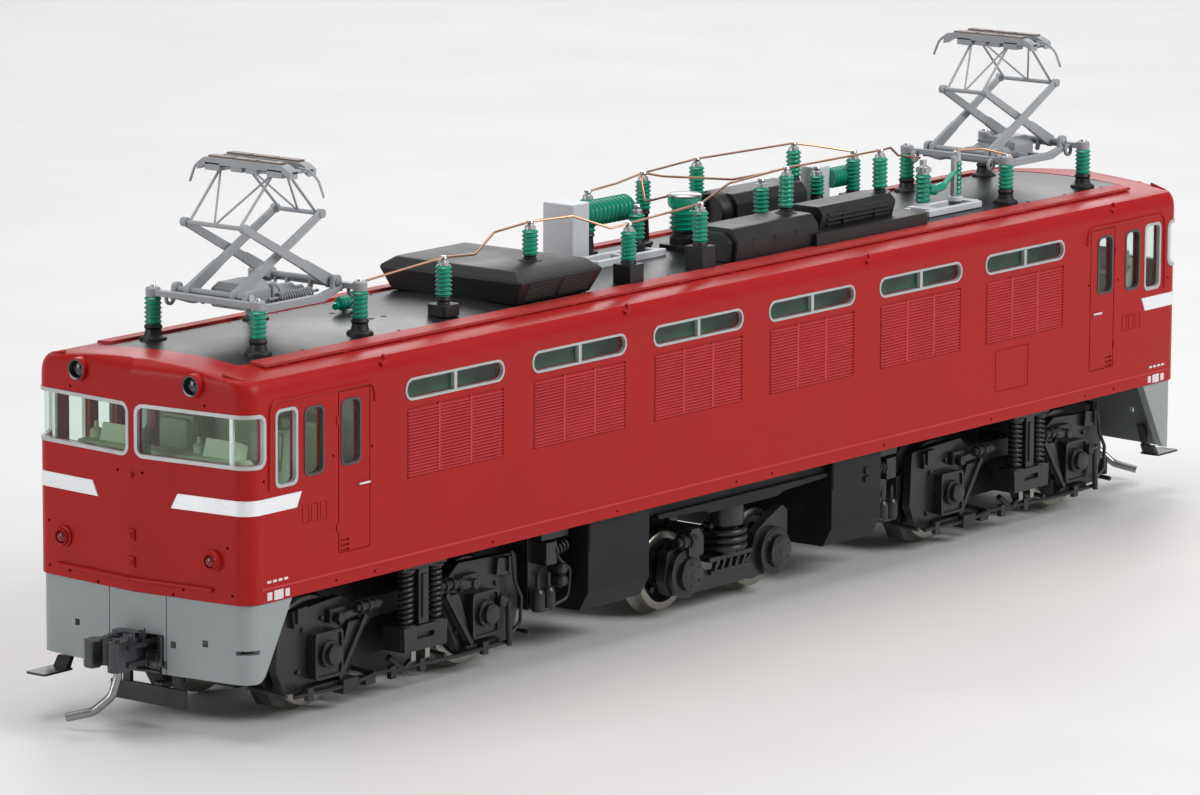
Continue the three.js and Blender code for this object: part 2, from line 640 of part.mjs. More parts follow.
// The air-blast breaker: a tank with a ribbed arm, an upright post and a frame of two rails.
function breakerBox() {
  const tower = block(-11.1, -8, 4.8, 10, DECK, 53);
  const ribs = [[0, 0], [1.7, 0], [1.2, 2.6], [1.7, 5.2], [1.2, 7.8], [1.7, 10.4], [0, 10.4]];
  const arm = turned(ribs, "x", [-8.2, 7.4, 51], 10);
  const post = insulator(1.6, 7.4, DECK, 4.4, 1.2, 2, 8);
  const rails = [5.4, 8.6].map((y) => block(-8.6, 6, y, y + 0.8, DECK, 46.4));
  const tie = block(4.8, 6, 5.4, 9.4, DECK, 46.4);
  return join(tower, arm, post, rails, tie);
}

function mainBushing() {
  const profile = [[0, 0], [2.2, 0], [2.2, 0.8], [1.6, 1.2], [2.1, 2], [1.6, 2.8], [2.1, 3.6], [1.6, 4.4],
    [2.2, 5.6], [2.2, 6.8], [0, 6.8]];
  return turned(profile, "z", [8.4, 0.9, DECK], 12);
}

// A copper busbar with the insulators that carry it; each post is [x, y, foot, height].
const BUSBAR = 0.22;
const postTops = (posts) => posts.map(([x, y, z, height]) => [x, y, z + height - 0.2]);
const standing = (posts) => posts.map(([x, y, z, height]) => insulator(x, y, z, height));

function nearBusLine() {
  const posts = [
    [-54.3, -8, DECK, 7.4], [-34, -6, 50.1, 4.7], [-17.8, -9.6, DECK, 7.3], [-1.2, -9.6, DECK, 7.4],
    [21, -7, 50.3, 5.2], [41.3, -8, 50.5, 5.2],
  ];
  const [a, b, c, d, e, f] = postTops(posts);
  const route = [[-70.5, -7.6, 51], a, [-48, -7.2, 53.6], [-41, -6.4, 55.2], b, [-25, -7.6, 54.6], c, d,
    [6, -8.4, 55], e, f, [47, -6.4, 55.4], [53, -5.4, 53.6]];
  return join(standing(posts), wire(route, BUSBAR));
}

function farBusLine() {
  const posts = [
    [-1.4, 10.8, DECK, 7.4], [8.5, 8, DECK, 9.3], [19.6, 8, DECK, 9.8], [43.2, 8, DECK, 9.6],
    [52, 4, DECK, 7.6],
  ];
  const [first, ...rest] = postTops(posts);
  return join(standing(posts), wire([first, [3, 9.6, 54.2], ...rest], BUSBAR));
}

function isolatorSwitch() {
  const rails = [-8.6, -5.7].map((y) => block(53.4, 66, y, y + 1, DECK, 46.7));
  const ties = [54, 64.6].map((x) => block(x, x + 1.4, -8.6, -4.7, DECK, 46.7));
  const posts = [insulator(55.7, -5.2, 46.5, 6.4), insulator(64.3, -5.2, 46.5, 6.2, 0.9)];
  const lever = wire([[55.7, -5.2, 48.8], [58.6, -5.2, 48], [61.4, -5.2, 49.4], [64.3, -5.2, 50]], 0.7, 6);
  return join(rails, ties, posts, lever);
}

// ---- pantographs ----------------------------------------------------------------------------------
function pantoBase() {
  const { x, stand, pivot, outer } = PANTO;
  const feet = both((ex) => both((ey) => insulator(-x + ex * stand.x, ey * stand.y, DECK, 5.0))).flat();
  const beams = both((end) => block(-x + end * 9.1, -x + end * 10.5, -9.4, 9.4, 50.2, 51.0));
  const channels = both((side) => {
    const outline = mirrored([[10, 51], [10, 50.3], [6, 49.4]]).map(([along, z]) => [along - x, z]);
    return plateXZ(outline, side * 5.7, side * 6.5);
  });
  const bearings = both((end) =>
    both((side) =>
      cut(
        block(-x + end * pivot.x - 0.9, -x + end * pivot.x + 0.9, side * 5.6, side * 6.4, 50.8, 52.8),
        rod([-x + end * pivot.x, side * 5, pivot.z], [-x + end * pivot.x, side * 7, pivot.z], 0.65, 8),
      ),
    ),
  ).flat();
  const springBox = block(-x - 5, -x + 1, -2.6, 2.6, 49.6, 51.6);
  const cylinder = rod([-x + 1, 0, 50.5], [-x + 6.4, 0, 50.5], 0.9, 10);
  const ties = both((end) => block(-x + end * 4.4, -x + end * 5.2, -6, 6, 49.7, 50.5));
  return join(feet, beams, channels, bearings, springBox, cylinder, ties);
}

// One lower arm: two flat bars on a pivot shaft, leaning across the middle to the elbow on the other side.
function lowerArm(end, half) {
  const { x, pivot, elbow } = PANTO;
  const foot = [-x + end * pivot.x, pivot.z];
  const top = [-x - end * elbow.x, elbow.z];
  return join(
    both((side) => bar(foot, top, side * half, 0.7, 0.5)),
    rod([foot[0], -6.2, foot[1]], [foot[0], 6.2, foot[1]], 0.4),
  );
}

// One upper frame: the elbow tube between a lower arm's bars, two thin legs, a brace and the rod
// that carries the head.
function upperFrame(end, armHalf) {
  const { x, elbow, head, leg } = PANTO;
  const half = armHalf - 0.55;
  const low = (y) => [-x - end * elbow.x, y, elbow.z];
  const high = (y) => [-x - end * head.x, y, head.z];
  return join(
    both((side) => rod(low(side * (half - leg)), high(side * half), leg, 6)),
    rod(low(-half), low(half), 0.3, 6),
    rod(low(0), high(half), leg * 0.8, 5),
    rod(high(-half - leg), high(half + leg), leg, 6),
  );
}

function pantoHead() {
  const { x, head } = PANTO;
  const strips = both((end) => {
    const sx = -x + end * head.x;
    const arch = mirrored([[6.6, 67.4], [8.6, 67.0], [8.6, 67.5], [6.6, 68.0]]);
    return plateYZ(arch, sx - 0.75, sx + 0.75);
  });
  const ends = both((side) => block(-x - head.x, -x + head.x, side * 7.6, side * 8.4, 67.2, 67.7));
  const middle = block(-x - head.x, -x + head.x, -0.6, 0.6, 67.4, 67.9);
  const lug = (end, y) => both((side) =>
    block(-x - end * head.x - 0.5, -x - end * head.x + 0.5, side * y, side * (y + 0.5), head.z - 0.5, 67.6),
  );
  const lugs = [lug(1, PANTO.outer), lug(-1, PANTO.inner)].flat();
  const hornPath = [[8.2, 67.45], [9.3, 66.9], [10, 65.8], [10.4, 64.4]];
  const horns = both((side) => wire(hornPath.map(([y, z]) => [-x, side * y, z]), 0.25));
  return join(strips, ends, middle, lugs, horns);
}

// ---- materials and assembly -------------------------------------------------------------------------
const paint = (color, roughness = 0.5, metalness = 0, extra = {}) =>
  new THREE.MeshStandardMaterial({ color, roughness, metalness, ...extra });
const RED = () => paint(0xa02828, 0.35);
const GREY = () => paint(0x8b9292, 0.6);
const BLACK = () => paint(0x1c1c1e, 0.6);
const CLEAR = () => paint(0xcfd8d6, 0.1, 0, { transparent: true, opacity: 0.35 });
const GREEN = () => paint(0x8ca082, 0.6);
const ARM_GREY = () => paint(0x969ba0, 0.5);
const STEEL = () => paint(0x9a9a98, 0.3, 1);
const COPPER = () => paint(0xbe8c6e, 0.35, 1);

const locomotive = new THREE.Group();
locomotive.position.z = FLANGE_DEPTH;

function add(name, piece, material, parent = locomotive) {
  const made = piece.getMesh();
  const g = new THREE.BufferGeometry();
  g.setAttribute("position", new THREE.BufferAttribute(new Float32Array(made.vertProperties), 3));
  g.setIndex(new THREE.BufferAttribute(new Uint32Array(made.triVerts), 1));
  g.computeVertexNormals();
  const mesh = new THREE.Mesh(g, material);
  mesh.name = name;
  parent.add(mesh);
  return mesh;
}

// A piece made for the front end is copied to the rear by half a turn about the vertical.
function addBothEnds(name, piece, makeMaterial) {
  add(`${name}_front`, piece, makeMaterial());
  add(`${name}_rear`, piece, makeMaterial()).rotation.z = Math.PI;
}

add("body_shell", bodyShell(), RED());
add("roof_panel", roofPanel(), BLACK());
addBothEnds("skirt", skirt(), GREY);
addBothEnds("cab_glazing", cabGlazing(), CLEAR);
add("side_glazing_near", sideGlazing(-1), CLEAR());
add("side_glazing_far", sideGlazing(1), CLEAR());
addBothEnds("light_guide", lightGuide(), CLEAR);
addBothEnds("cab_interior", cabInterior(), GREEN);
add("machine_room_liner", machineRoomLiner(), GREEN());
add("circuit_board", circuitBoard(), paint(0x2f5a3a, 0.5));
add("chassis_frame", chassisFrame(), BLACK());
add("motor_casing", motorCasing(), STEEL());
add("motor_rotor", motorRotor(), STEEL());
add("equipment_near", equipment(), BLACK());
add("equipment_far", equipment(), BLACK()).rotation.z = Math.PI;
addBothEnds("coupler", coupler(), STEEL);
addBothEnds("knuckle", knuckle(), STEEL);
add("cardan_shaft_rear", cardanShaft(), BLACK());
add("cardan_shaft_front", cardanShaft(), BLACK()).rotation.z = Math.PI;

const frameOfDriveBogie = driveBogieFrame();
const gearboxSolid = gearbox();
const wormShaftSolid = wormShaft();
const drivenAxle = wheelset(DRIVE_BOGIE.wheel, true);
for (const [name, end] of [["front", -1], ["rear", 1]]) {
  const bogie = new THREE.Group();
  bogie.position.x = end * DRIVE_BOGIE.x;
  locomotive.add(bogie);
  add(`bogie_frame_${name}`, frameOfDriveBogie, BLACK(), bogie);
  add(`gearbox_${name}`, gearboxSolid, BLACK(), bogie);
  add(`worm_shaft_${name}`, wormShaftSolid, STEEL(), bogie);
  [-1, 1].forEach((along, i) => {
    const number = (end < 0 ? 1 : 5) + i;
    const axle = add(`wheelset_${number}`, drivenAxle, STEEL(), bogie);
    axle.position.set(along * DRIVE_BOGIE.halfBase, 0, DRIVE_BOGIE.wheel);
  });
}

const carryingAxle = wheelset(CENTRE_BOGIE.wheel, false);
add("centre_bogie_frame", centreBogieFrame(), BLACK());
add("centre_bolster", centreBolster(), BLACK());
[-1, 1].forEach((along, i) => {
  const axle = add(`wheelset_${3 + i}`, carryingAxle, STEEL());
  axle.position.set(along * CENTRE_BOGIE.halfBase, 0, CENTRE_BOGIE.wheel);
});

add("roof_hood_front", frontHood(), BLACK());
add("roof_hood_rear", rearHood(), BLACK());
add("roof_hood_far", farHood(), BLACK());
add("breaker_box", breakerBox(), ARM_GREY());
add("main_bushing", mainBushing(), paint(0x1f7a5c, 0.3));
add("bus_line_near", nearBusLine(), COPPER());
add("bus_line_far", farBusLine(), COPPER());
add("isolator_switch", isolatorSwitch(), ARM_GREY());

addBothEnds("panto_base", pantoBase(), ARM_GREY);
addBothEnds("panto_lower_a", lowerArm(1, PANTO.outer), ARM_GREY);
addBothEnds("panto_lower_b", lowerArm(-1, PANTO.inner), ARM_GREY);
addBothEnds("panto_upper_a", upperFrame(1, PANTO.outer), ARM_GREY);
addBothEnds("panto_upper_b", upperFrame(-1, PANTO.inner), ARM_GREY);
addBothEnds("panto_head", pantoHead(), ARM_GREY);

export default locomotive;
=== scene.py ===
"""Looks of the model electric locomotive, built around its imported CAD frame.

Lengths are written in millimetres above the rail top, as a modeller measures them, and become
metres in the row frame when a mesh is made. The front cab is at -X and the near side is at -Y.
"""

import json
import math

import bmesh
import bpy
import numpy as np
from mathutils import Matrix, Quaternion, Vector

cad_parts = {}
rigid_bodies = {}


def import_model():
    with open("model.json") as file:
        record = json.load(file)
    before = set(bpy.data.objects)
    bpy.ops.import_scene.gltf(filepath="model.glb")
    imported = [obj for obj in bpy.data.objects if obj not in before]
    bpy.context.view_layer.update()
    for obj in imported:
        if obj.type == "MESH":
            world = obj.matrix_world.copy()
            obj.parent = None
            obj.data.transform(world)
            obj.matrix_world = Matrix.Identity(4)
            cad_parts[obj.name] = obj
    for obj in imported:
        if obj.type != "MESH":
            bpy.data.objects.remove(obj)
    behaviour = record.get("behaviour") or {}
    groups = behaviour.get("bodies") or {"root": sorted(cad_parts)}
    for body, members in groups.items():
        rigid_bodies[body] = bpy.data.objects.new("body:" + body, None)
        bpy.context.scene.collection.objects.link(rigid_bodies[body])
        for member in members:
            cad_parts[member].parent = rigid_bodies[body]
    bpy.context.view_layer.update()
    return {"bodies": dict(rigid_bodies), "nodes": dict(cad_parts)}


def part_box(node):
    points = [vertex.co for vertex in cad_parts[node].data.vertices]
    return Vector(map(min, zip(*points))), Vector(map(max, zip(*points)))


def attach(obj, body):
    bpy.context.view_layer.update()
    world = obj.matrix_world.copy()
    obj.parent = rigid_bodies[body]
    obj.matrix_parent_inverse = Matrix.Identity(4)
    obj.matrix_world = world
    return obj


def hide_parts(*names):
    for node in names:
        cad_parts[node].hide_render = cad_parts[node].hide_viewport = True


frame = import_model()

# ---- driving dimensions -----------------------------------------------------
MM = 0.001
RAIL = 0.8  # height of the rail top above z = 0: the depth of a wheel flange


def span(node):
    """The lowest and highest corners of a CAD node, in millimetres above the rail top."""
    low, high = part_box(node)
    rail = Vector((0, 0, RAIL))
    return low / MM - rail, high / MM - rail


NOSE = span("body_shell")[1].x  # half length at the crease of the V front
CORNER = NOSE - 1.7  # half length where the front meets the side
HALF = 17.5  # half width of the body
FLOOR = span("body_shell")[0].z
CROWN = span("body_shell")[1].z
CORNER_RADIUS = 2.4
WALL = 1.1
SILL = 18.45
PATH_END = -60  # where the outline that follows the cab corner stops along the side
WINDOW = {"count": 6, "pitch": 25.475, "half": 9.9, "low": 37.95, "high": 40.85, "trim": 0.33}
LOUVRE = {"low": 28.3, "high": 36.95, "from": -9.4, "to": 9.7, "slats": 21, "columns": 3}
WINDSCREEN = {"low": 33.5, "high": 40.3, "inner": 0.45, "wrap": 100.3, "trim": 0.5}
CAB_WINDOWS = [  # outer frame: x from, x to, z from, z to, width of the frame, whether it is silver
    (94.3, 98.6, 30.65, 40.45, 0.42, True),
    (89.3, 93.1, 31.3, 40.0, 0.3, False),
    (82.2, 86.1, 31.6, 40.0, 0.3, False),
]
DOOR = {"x0": 80.4, "x1": 86.6, "z0": 20.7, "z1": 41.1}
HEADLIGHT = {"y": 9.35, "z": 43.35}
TAIL_LAMP = {"y": 12.2, "z": 21.9}
ROOF_PANEL = span("roof_panel")[1]
WINDOW_CENTRES = [
    WINDOW["pitch"] * (i - (WINDOW["count"] - 1) / 2) for i in range(WINDOW["count"])
]


# ---- shapes: a shape is a list of closed solids, each one (vertices, faces) -
def loft(loops, ring=False):
    """Skins loops of points one after another; a loop of one point is a pole."""
    verts, starts = [], []
    for loop in loops:
        starts.append(len(verts))
        verts.extend(tuple(p) for p in loop)
    pairs = list(zip(range(len(loops)), range(1, len(loops))))
    if ring:
        pairs.append((len(loops) - 1, 0))
    faces = []
    for a, b in pairs:
        count_a, count_b = len(loops[a]), len(loops[b])
        for i in range(max(count_a, count_b)):
            corners = (
                starts[a] + i % count_a,
                starts[a] + (i + 1) % count_a,
                starts[b] + (i + 1) % count_b,
                starts[b] + i % count_b,
            )
            faces.append(tuple(dict.fromkeys(corners)))
    if not ring:
        for k in (0, len(loops) - 1):
            if len(loops[k]) > 2:
                faces.append(tuple(range(starts[k], starts[k] + len(loops[k]))))
    return [(np.array(verts, float), faces)]


AXES = {"x": (1, 2, 0), "y": (0, 2, 1), "z": (0, 1, 2)}  # where an outline's values and depth go


def lifted(outline, axis, depth):
    """A flat outline as points in space, at one depth along the axis."""
    a, b, c = AXES[axis]
    points = np.zeros((len(outline), 3))
    points[:, [a, b]] = np.array(outline, float)
    points[:, c] = depth
    return points


def prism(outline, axis, low, high):
    return loft([lifted(outline, axis, low), lifted(outline, axis, high)])


def hoop(outer, inner, axis, low, high):
    """A flat frame between two outlines with the same number of points."""
    loops = [(outer, low), (outer, high), (inner, high), (inner, low)]
    return loft([lifted(outline, axis, depth) for outline, depth in loops], ring=True)


def box(x0, x1, y0, y1, z0, z1):
    return prism([(x0, y0), (x1, y0), (x1, y1), (x0, y1)], "z", z0, z1)


def rectangle(a0, a1, b0, b1):
    return [(a0, b0), (a1, b0), (a1, b1), (a0, b1)]


def rounded(points, radius, steps=4, closed=True):
    """Replaces corners by arcs; works on flat outlines and on paths in space."""
    points = [np.array(p, float) for p in points]
    radii = radius if isinstance(radius, (list, tuple)) else [radius] * len(points)
    out = []
    for i, (p, r) in enumerate(zip(points, radii)):
        u = points[i - 1] - p
        v = points[(i + 1) % len(points)] - p
        u, v = u / np.linalg.norm(u), v / np.linalg.norm(v)
        half = math.acos(np.clip(u @ v, -1, 1)) / 2
        is_end = not closed and i in (0, len(points) - 1)
        if r <= 0 or is_end or half > 1.55:
            out.append(p)
            continue
        centre = p + (u + v) / np.linalg.norm(u + v) * r / math.sin(half)
        a = p + u * r / math.tan(half) - centre
        b = p + v * r / math.tan(half) - centre
        sweep = math.pi - 2 * half
        for k in np.linspace(0, 1, steps + 1):
            share = math.sin((1 - k) * sweep) * a + math.sin(k * sweep) * b
            out.append(centre + share / math.sin(sweep))
    return out


def circle(axis, centre, radius, segments):
    if radius == 0:
        return [tuple(centre)]
    angles = np.linspace(0, 2 * math.pi, segments, endpoint=False)
    flat = np.stack([np.cos(angles), np.sin(angles)], 1) * radius
    return lifted(flat, axis, 0) + np.array(centre, float)


def lathe(profile, axis, centre, segments=28, ring=False):
    """Turns a profile of (radius, distance along the axis) about an axis through a centre."""
    step = np.zeros(3)
    step[AXES[axis][2]] = 1
    loops = [circle(axis, np.array(centre) + step * h, r, segments) for r, h in profile]
    return loft(loops, ring)


def tube(path, radius, sides=10):
    """A round bar along a path; the radius is one number or one per point."""
    points = [Vector(p) for p in path]
    radii = radius if isinstance(radius, (list, tuple)) else [radius] * len(points)
    across = None
    loops = []
    for i, p in enumerate(points):
        ahead = points[min(i + 1, len(points) - 1)] - points[max(i - 1, 0)]
        ahead.normalize()
        across = ahead.orthogonal() if across is None else across - ahead * across.dot(ahead)
        across.normalize()
        up = ahead.cross(across)
        angles = [2 * math.pi * k / sides for k in range(sides)]
        loops.append([p + (across * math.cos(a) + up * math.sin(a)) * radii[i] for a in angles])
    return loft(loops)


def helix(turns, steps):
    """Share of the length, cosine and sine at each step of a helix."""
    for i in range(steps + 1):
        angle = 2 * math.pi * turns * i / steps
        yield i / steps, math.cos(angle), math.sin(angle)


def coil(x, y, low, high, radius, wire, turns, sides=8):
    """A helical spring standing on z."""
    length = high - low - 2 * wire
    path = [(x + radius * cos, y + radius * sin, low + wire + length * share)
            for share, cos, sin in helix(turns, int(turns * 18))]
    return tube(path, wire, sides)


def coil_along(x0, x1, y, z, radius, wire, turns):
    """A helical spring lying along x."""
    path = [(x0 + (x1 - x0) * share, y + radius * cos, z + radius * sin)
            for share, cos, sin in helix(turns, turns * 14)]
    return tube(path, wire, 6)


def rod(axis, centre, radius, low, high, segments=20):
    """A round bar along an axis; low and high are measured from its centre."""
    return lathe([(0, low), (radius, low), (radius, high), (0, high)], axis, centre, segments)


def slab(a0, a1, b0, b1, radius, axis, low, high, steps=4):
    """A plate with rounded corners."""
    return prism(rounded(rectangle(a0, a1, b0, b1), radius, steps), axis, low, high)


def bent(path, bends, steps=5):
    """A path in space with its inner corners rounded."""
    return rounded(path, [0, *bends, 0], steps, closed=False)


def moved(shape, x=0, y=0):
    return [(verts + np.array((x, y, 0), float), faces) for verts, faces in shape]


def flipped(shape, axis):
    sign = np.ones(3)
    sign["xyz".index(axis)] = -1
    return [(verts * sign, faces) for verts, faces in shape]


def half_turn(shape):
    return flipped(flipped(shape, "x"), "y")


def unturned(shape):
    return shape


def both_sides(shape):
    return shape + flipped(shape, "y")


ENDS = (("front", unturned), ("rear", half_turn))
QUARTERS = ((-1, -1), (-1, 1), (1, -1), (1, 1))  # signs of x and y


def tilted(shape, degrees, axis, about):
    """Turns a shape about an axis through a point."""
    a, b, _ = AXES[axis]
    cos, sin = math.cos(math.radians(degrees)), math.sin(math.radians(degrees))
    out = []
    for verts, faces in shape:
        v = verts - np.array(about, float)
        turned = v.copy()
        turned[:, a] = v[:, a] * cos - v[:, b] * sin
        turned[:, b] = v[:, a] * sin + v[:, b] * cos
        out.append((turned + np.array(about, float), faces))
    return out


# ---- following the body's outline round the cab corner ----------------------
def corner_path():
    """Plan of the body from the crease of the front, round the near corner, along the side."""
    corner = [(-NOSE, 0), (-CORNER, -HALF), (PATH_END, -HALF)]
    return np.array(bent(corner, [CORNER_RADIUS], 12))


CORNER_PATH = corner_path()
_steps = np.diff(CORNER_PATH, axis=0)
_lengths = np.linalg.norm(_steps, axis=1)
PATH_AT = np.concatenate([[0], np.cumsum(_lengths)])
_segment_normals = np.stack([_steps[:, 1], -_steps[:, 0]], 1) / _lengths[:, None]
PATH_NORMALS = np.concatenate(
    [_segment_normals[:1], (_segment_normals[1:] + _segment_normals[:-1]) / 2, _segment_normals[-1:]]
)


def around(s, z, out):
    """The point at distance s along the outline from the crease, at height z, standing out."""
    x = np.interp(s, PATH_AT, CORNER_PATH[:, 0])
    y = np.interp(s, PATH_AT, CORNER_PATH[:, 1])
    nx = np.interp(s, PATH_AT, PATH_NORMALS[:, 0])
    ny = np.interp(s, PATH_AT, PATH_NORMALS[:, 1])
    return (x + nx * out, y + ny * out, z)


def s_at_side(x):
    """Distance along the outline of a point of the near side, given its x."""
    return PATH_AT[-1] - (PATH_END - x)


def dense(outline, counts):
    """Splits each edge of a closed outline into the given number of steps."""
    out = []
    for i, count in enumerate(counts):
        a, b = np.array(outline[i]), np.array(outline[(i + 1) % len(outline)])
        out += [a + (b - a) * k / count for k in range(count)]
    return out


def wrapped_hoop(outer, inner, low, high):
    """A frame drawn in (distance, height) that bends round the cab corner."""
    counts = []
    for i, p in enumerate(outer):
        length = np.linalg.norm(np.array(outer[(i + 1) % len(outer)]) - np.array(p))
        counts.append(max(1, math.ceil(length / 0.35)))
    loops = [
        [around(s, z, out) for s, z in dense(outline, counts)]
        for outline, out in ((outer, low), (outer, high), (inner, high), (inner, low))
    ]
    return loft(loops, ring=True)


def wrapped_strip(start, end, z0, z1, inner, outer, steps=60):
    """A strip round the cab corner; each end is a distance along the low and along the high edge.

    The ends may slant, and between them the sections are upright.
    """
    margin = 0.1
    uprights = np.linspace(max(start) + margin, min(end) - margin, steps - 1)
    loops = []
    for low, high in [start, *zip(uprights, uprights), end]:
        inside = [around(low, z0, inner), around(high, z1, inner)]
        outside = [around(high, z1, outer), around(low, z0, outer)]
        loops.append(inside + outside)
    return loft(loops)


# ---- making Blender objects -------------------------------------------------
BEVEL_FROM = 36  # edges that turn by more than this many degrees are rounded


def raw(name, shape):
    """A mesh object from a shape, in metres in the row frame."""
    verts, faces, start = [], [], 0
    for solid_verts, solid_faces in shape:
        verts.append(solid_verts)
        faces += [tuple(i + start for i in face) for face in solid_faces]
        start += len(solid_verts)
    points = (np.concatenate(verts) + np.array((0, 0, RAIL))) * MM
    mesh = bpy.data.meshes.new(name)
    mesh.from_pydata(points.tolist(), [], faces)
    bm = bmesh.new()
    bm.from_mesh(mesh)
    bmesh.ops.recalc_face_normals(bm, faces=bm.faces)
    bm.to_mesh(mesh)
    bm.free()
    obj = bpy.data.objects.new(name, mesh)
    bpy.context.scene.collection.objects.link(obj)
    return obj


def carve(obj, shape, operation="DIFFERENCE"):
    """Cuts a shape out of an object, or keeps only what lies inside the shape."""
    cutter = raw("cutter", shape)
    boolean = obj.modifiers.new("cut", "BOOLEAN")
    boolean.object = cutter
    boolean.solver = "EXACT"
    boolean.operation = operation
    graph = bpy.context.evaluated_depsgraph_get()
    mesh = bpy.data.meshes.new_from_object(obj.evaluated_get(graph))
    obj.modifiers.remove(boolean)
    old, obj.data = obj.data, mesh
    bpy.data.meshes.remove(old)
    bpy.data.objects.remove(cutter)
    return obj


def finish(obj, material, body, slot, bevel=0.0, replaces=(), sharp=36):
    """Smooth shading, rounded edges, material, and the CAD body that the piece rides on."""
    mesh = obj.data
    mesh.materials.clear()
    mesh.materials.append(material)
    mesh.shade_smooth()
    mesh.set_sharp_from_angle(angle=math.radians(sharp))
    if bevel:
        edges = obj.modifiers.new("edges", "BEVEL")
        edges.width = bevel * MM
        edges.segments = 2
        edges.limit_method = "ANGLE"
        edges.angle_limit = math.radians(BEVEL_FROM)
        edges.harden_normals = True
    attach(obj, body)
    if replaces:
        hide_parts(*replaces)
    return obj


def make(name, shape, look, body="locomotive", bevel=0.08, replaces=()):
    """One piece; its look is a material and a slot of the record, and the slot is not used."""
    material, slot = look
    return finish(raw(name, shape), material, body, slot, bevel, replaces)


def make_ends(name, shape, look, body="locomotive", bevel=0.08, replaces=()):
    """One piece at the front and its half-turned copy at the rear."""
    for end, turn in ENDS:
        rides = body if body in frame["bodies"] else f"{body}_{end}"
        make(f"{name}_{end}", turn(shape), look, rides, bevel, [f"{node}_{end}" for node in replaces])


# ---- materials: every one has its own colour drift, grain, roughness drift and relief 
def node(tree, kind, inputs=None, **settings):
    """Adds a node; each input is a value or another node's output socket."""
    made = tree.nodes.new(kind)
    for key, value in settings.items():
        setattr(made, key, value)
    for key, value in (inputs or {}).items():
        if isinstance(value, bpy.types.NodeSocket):
            tree.links.new(value, made.inputs[key])
        else:
            made.inputs[key].default_value = value
    return made


def new_tree(name):
    """A material, its empty node tree, and the object coordinates that its patterns follow."""
    mat = bpy.data.materials.new(name)
    mat.use_nodes = True
    tree = mat.node_tree
    tree.nodes.clear()
    return mat, tree, node(tree, "ShaderNodeTexCoord").outputs["Object"]


def end_tree(tree, shader):
    output = node(tree, "ShaderNodeOutputMaterial")
    tree.links.new(shader.outputs[0], output.inputs["Surface"])


def noise(tree, place, size, detail=2.0, roughness=0.5):
    """Noise whose features are about `size` millimetres wide."""
    inputs = {"Vector": place, "Scale": 1 / (size * MM), "Detail": detail, "Roughness": roughness}
    return node(tree, "ShaderNodeTexNoise", inputs).outputs["Fac"]


def spread(tree, value, low, high, start=0.3, end=0.7):
    """Maps a value between start and end onto low to high."""
    inputs = {"Value": value, "From Min": start, "From Max": end, "To Min": low, "To Max": high}
    return node(tree, "ShaderNodeMapRange", inputs).outputs["Result"]


def blend(tree, share, first, second):
    made = node(tree, "ShaderNodeMix", data_type="RGBA")
    for socket, value in ((0, share), (6, first), (7, second)):
        if isinstance(value, bpy.types.NodeSocket):
            tree.links.new(value, made.inputs[socket])
        else:
            made.inputs[socket].default_value = value
    return made.outputs[2]


def shade(colour, factor):
    return tuple(min(1.0, c * factor) for c in colour) + (1.0,)


def surface(name, colour, roughness, metallic=0.0, patch=6.0, drift=0.08, grain=0.12, relief=0.004,
            coat=0.0, dust=0.0, dust_colour=(0.35, 0.33, 0.3), specular=0.5):
    """A solid finish: colour and roughness drift over `patch`, with a fine raised `grain` (mm)."""
    mat, tree, space = new_tree(name)
    wide = noise(tree, space, patch, 4.0)
    fine = noise(tree, space, grain)
    tone = blend(tree, spread(tree, wide, 0.0, 1.0), shade(colour, 1 - drift), shade(colour, 1 + drift))
    tone = blend(tree, spread(tree, fine, 0.0, 0.5), tone, shade(colour, 1 - drift / 2))
    if dust:
        specks = noise(tree, space, patch / 5, 5.0, 0.7)
        share = spread(tree, specks, 0.0, dust, 0.5, 0.8)
        tone = blend(tree, share, tone, (*dust_colour, 1.0))
    rough = spread(tree, wide, roughness * 0.85, min(1.0, roughness * 1.2))
    bump = node(tree, "ShaderNodeBump", {"Height": fine, "Distance": relief * MM, "Strength": 1.0})
    shader = node(tree, "ShaderNodeBsdfPrincipled", {
        "Base Color": tone,
        "Metallic": metallic,
        "Roughness": rough,
        "Specular IOR Level": specular,
        "Normal": bump.outputs["Normal"],
        "Coat Weight": coat,
        "Coat Roughness": 0.18,
    })
    end_tree(tree, shader)
    return mat


def clear_plastic(name, tint, mirror):
    """Thin moulded glazing: what is behind shows through, and the surface mirrors the room."""
    mat, tree, space = new_tree(name)
    ripple = noise(tree, space, 3.0)
    haze = spread(tree, noise(tree, space, 1.2, 3.0), 0.03, 0.08)
    bump = node(tree, "ShaderNodeBump", {"Height": ripple, "Distance": 0.01 * MM, "Strength": 0.6})
    gloss = node(tree, "ShaderNodeBsdfGlossy", {
        "Color": (1, 1, 1, 1), "Roughness": haze, "Normal": bump.outputs["Normal"],
    })
    through = node(tree, "ShaderNodeBsdfTransparent", {"Color": (*tint, 1)})
    edge = node(tree, "ShaderNodeLayerWeight", {"Blend": 0.5, "Normal": bump.outputs["Normal"]})
    share = spread(tree, edge.outputs["Facing"], mirror, 0.5, 0.5, 1.0)
    mix = node(tree, "ShaderNodeMixShader", {0: share, 1: through.outputs[0], 2: gloss.outputs[0]})
    end_tree(tree, mix)
    return mat


def paint(slot, *settings, **finish):
    """A look: a solid finish, and the slot of the record that it stands for."""
    return surface(*settings, **finish), slot


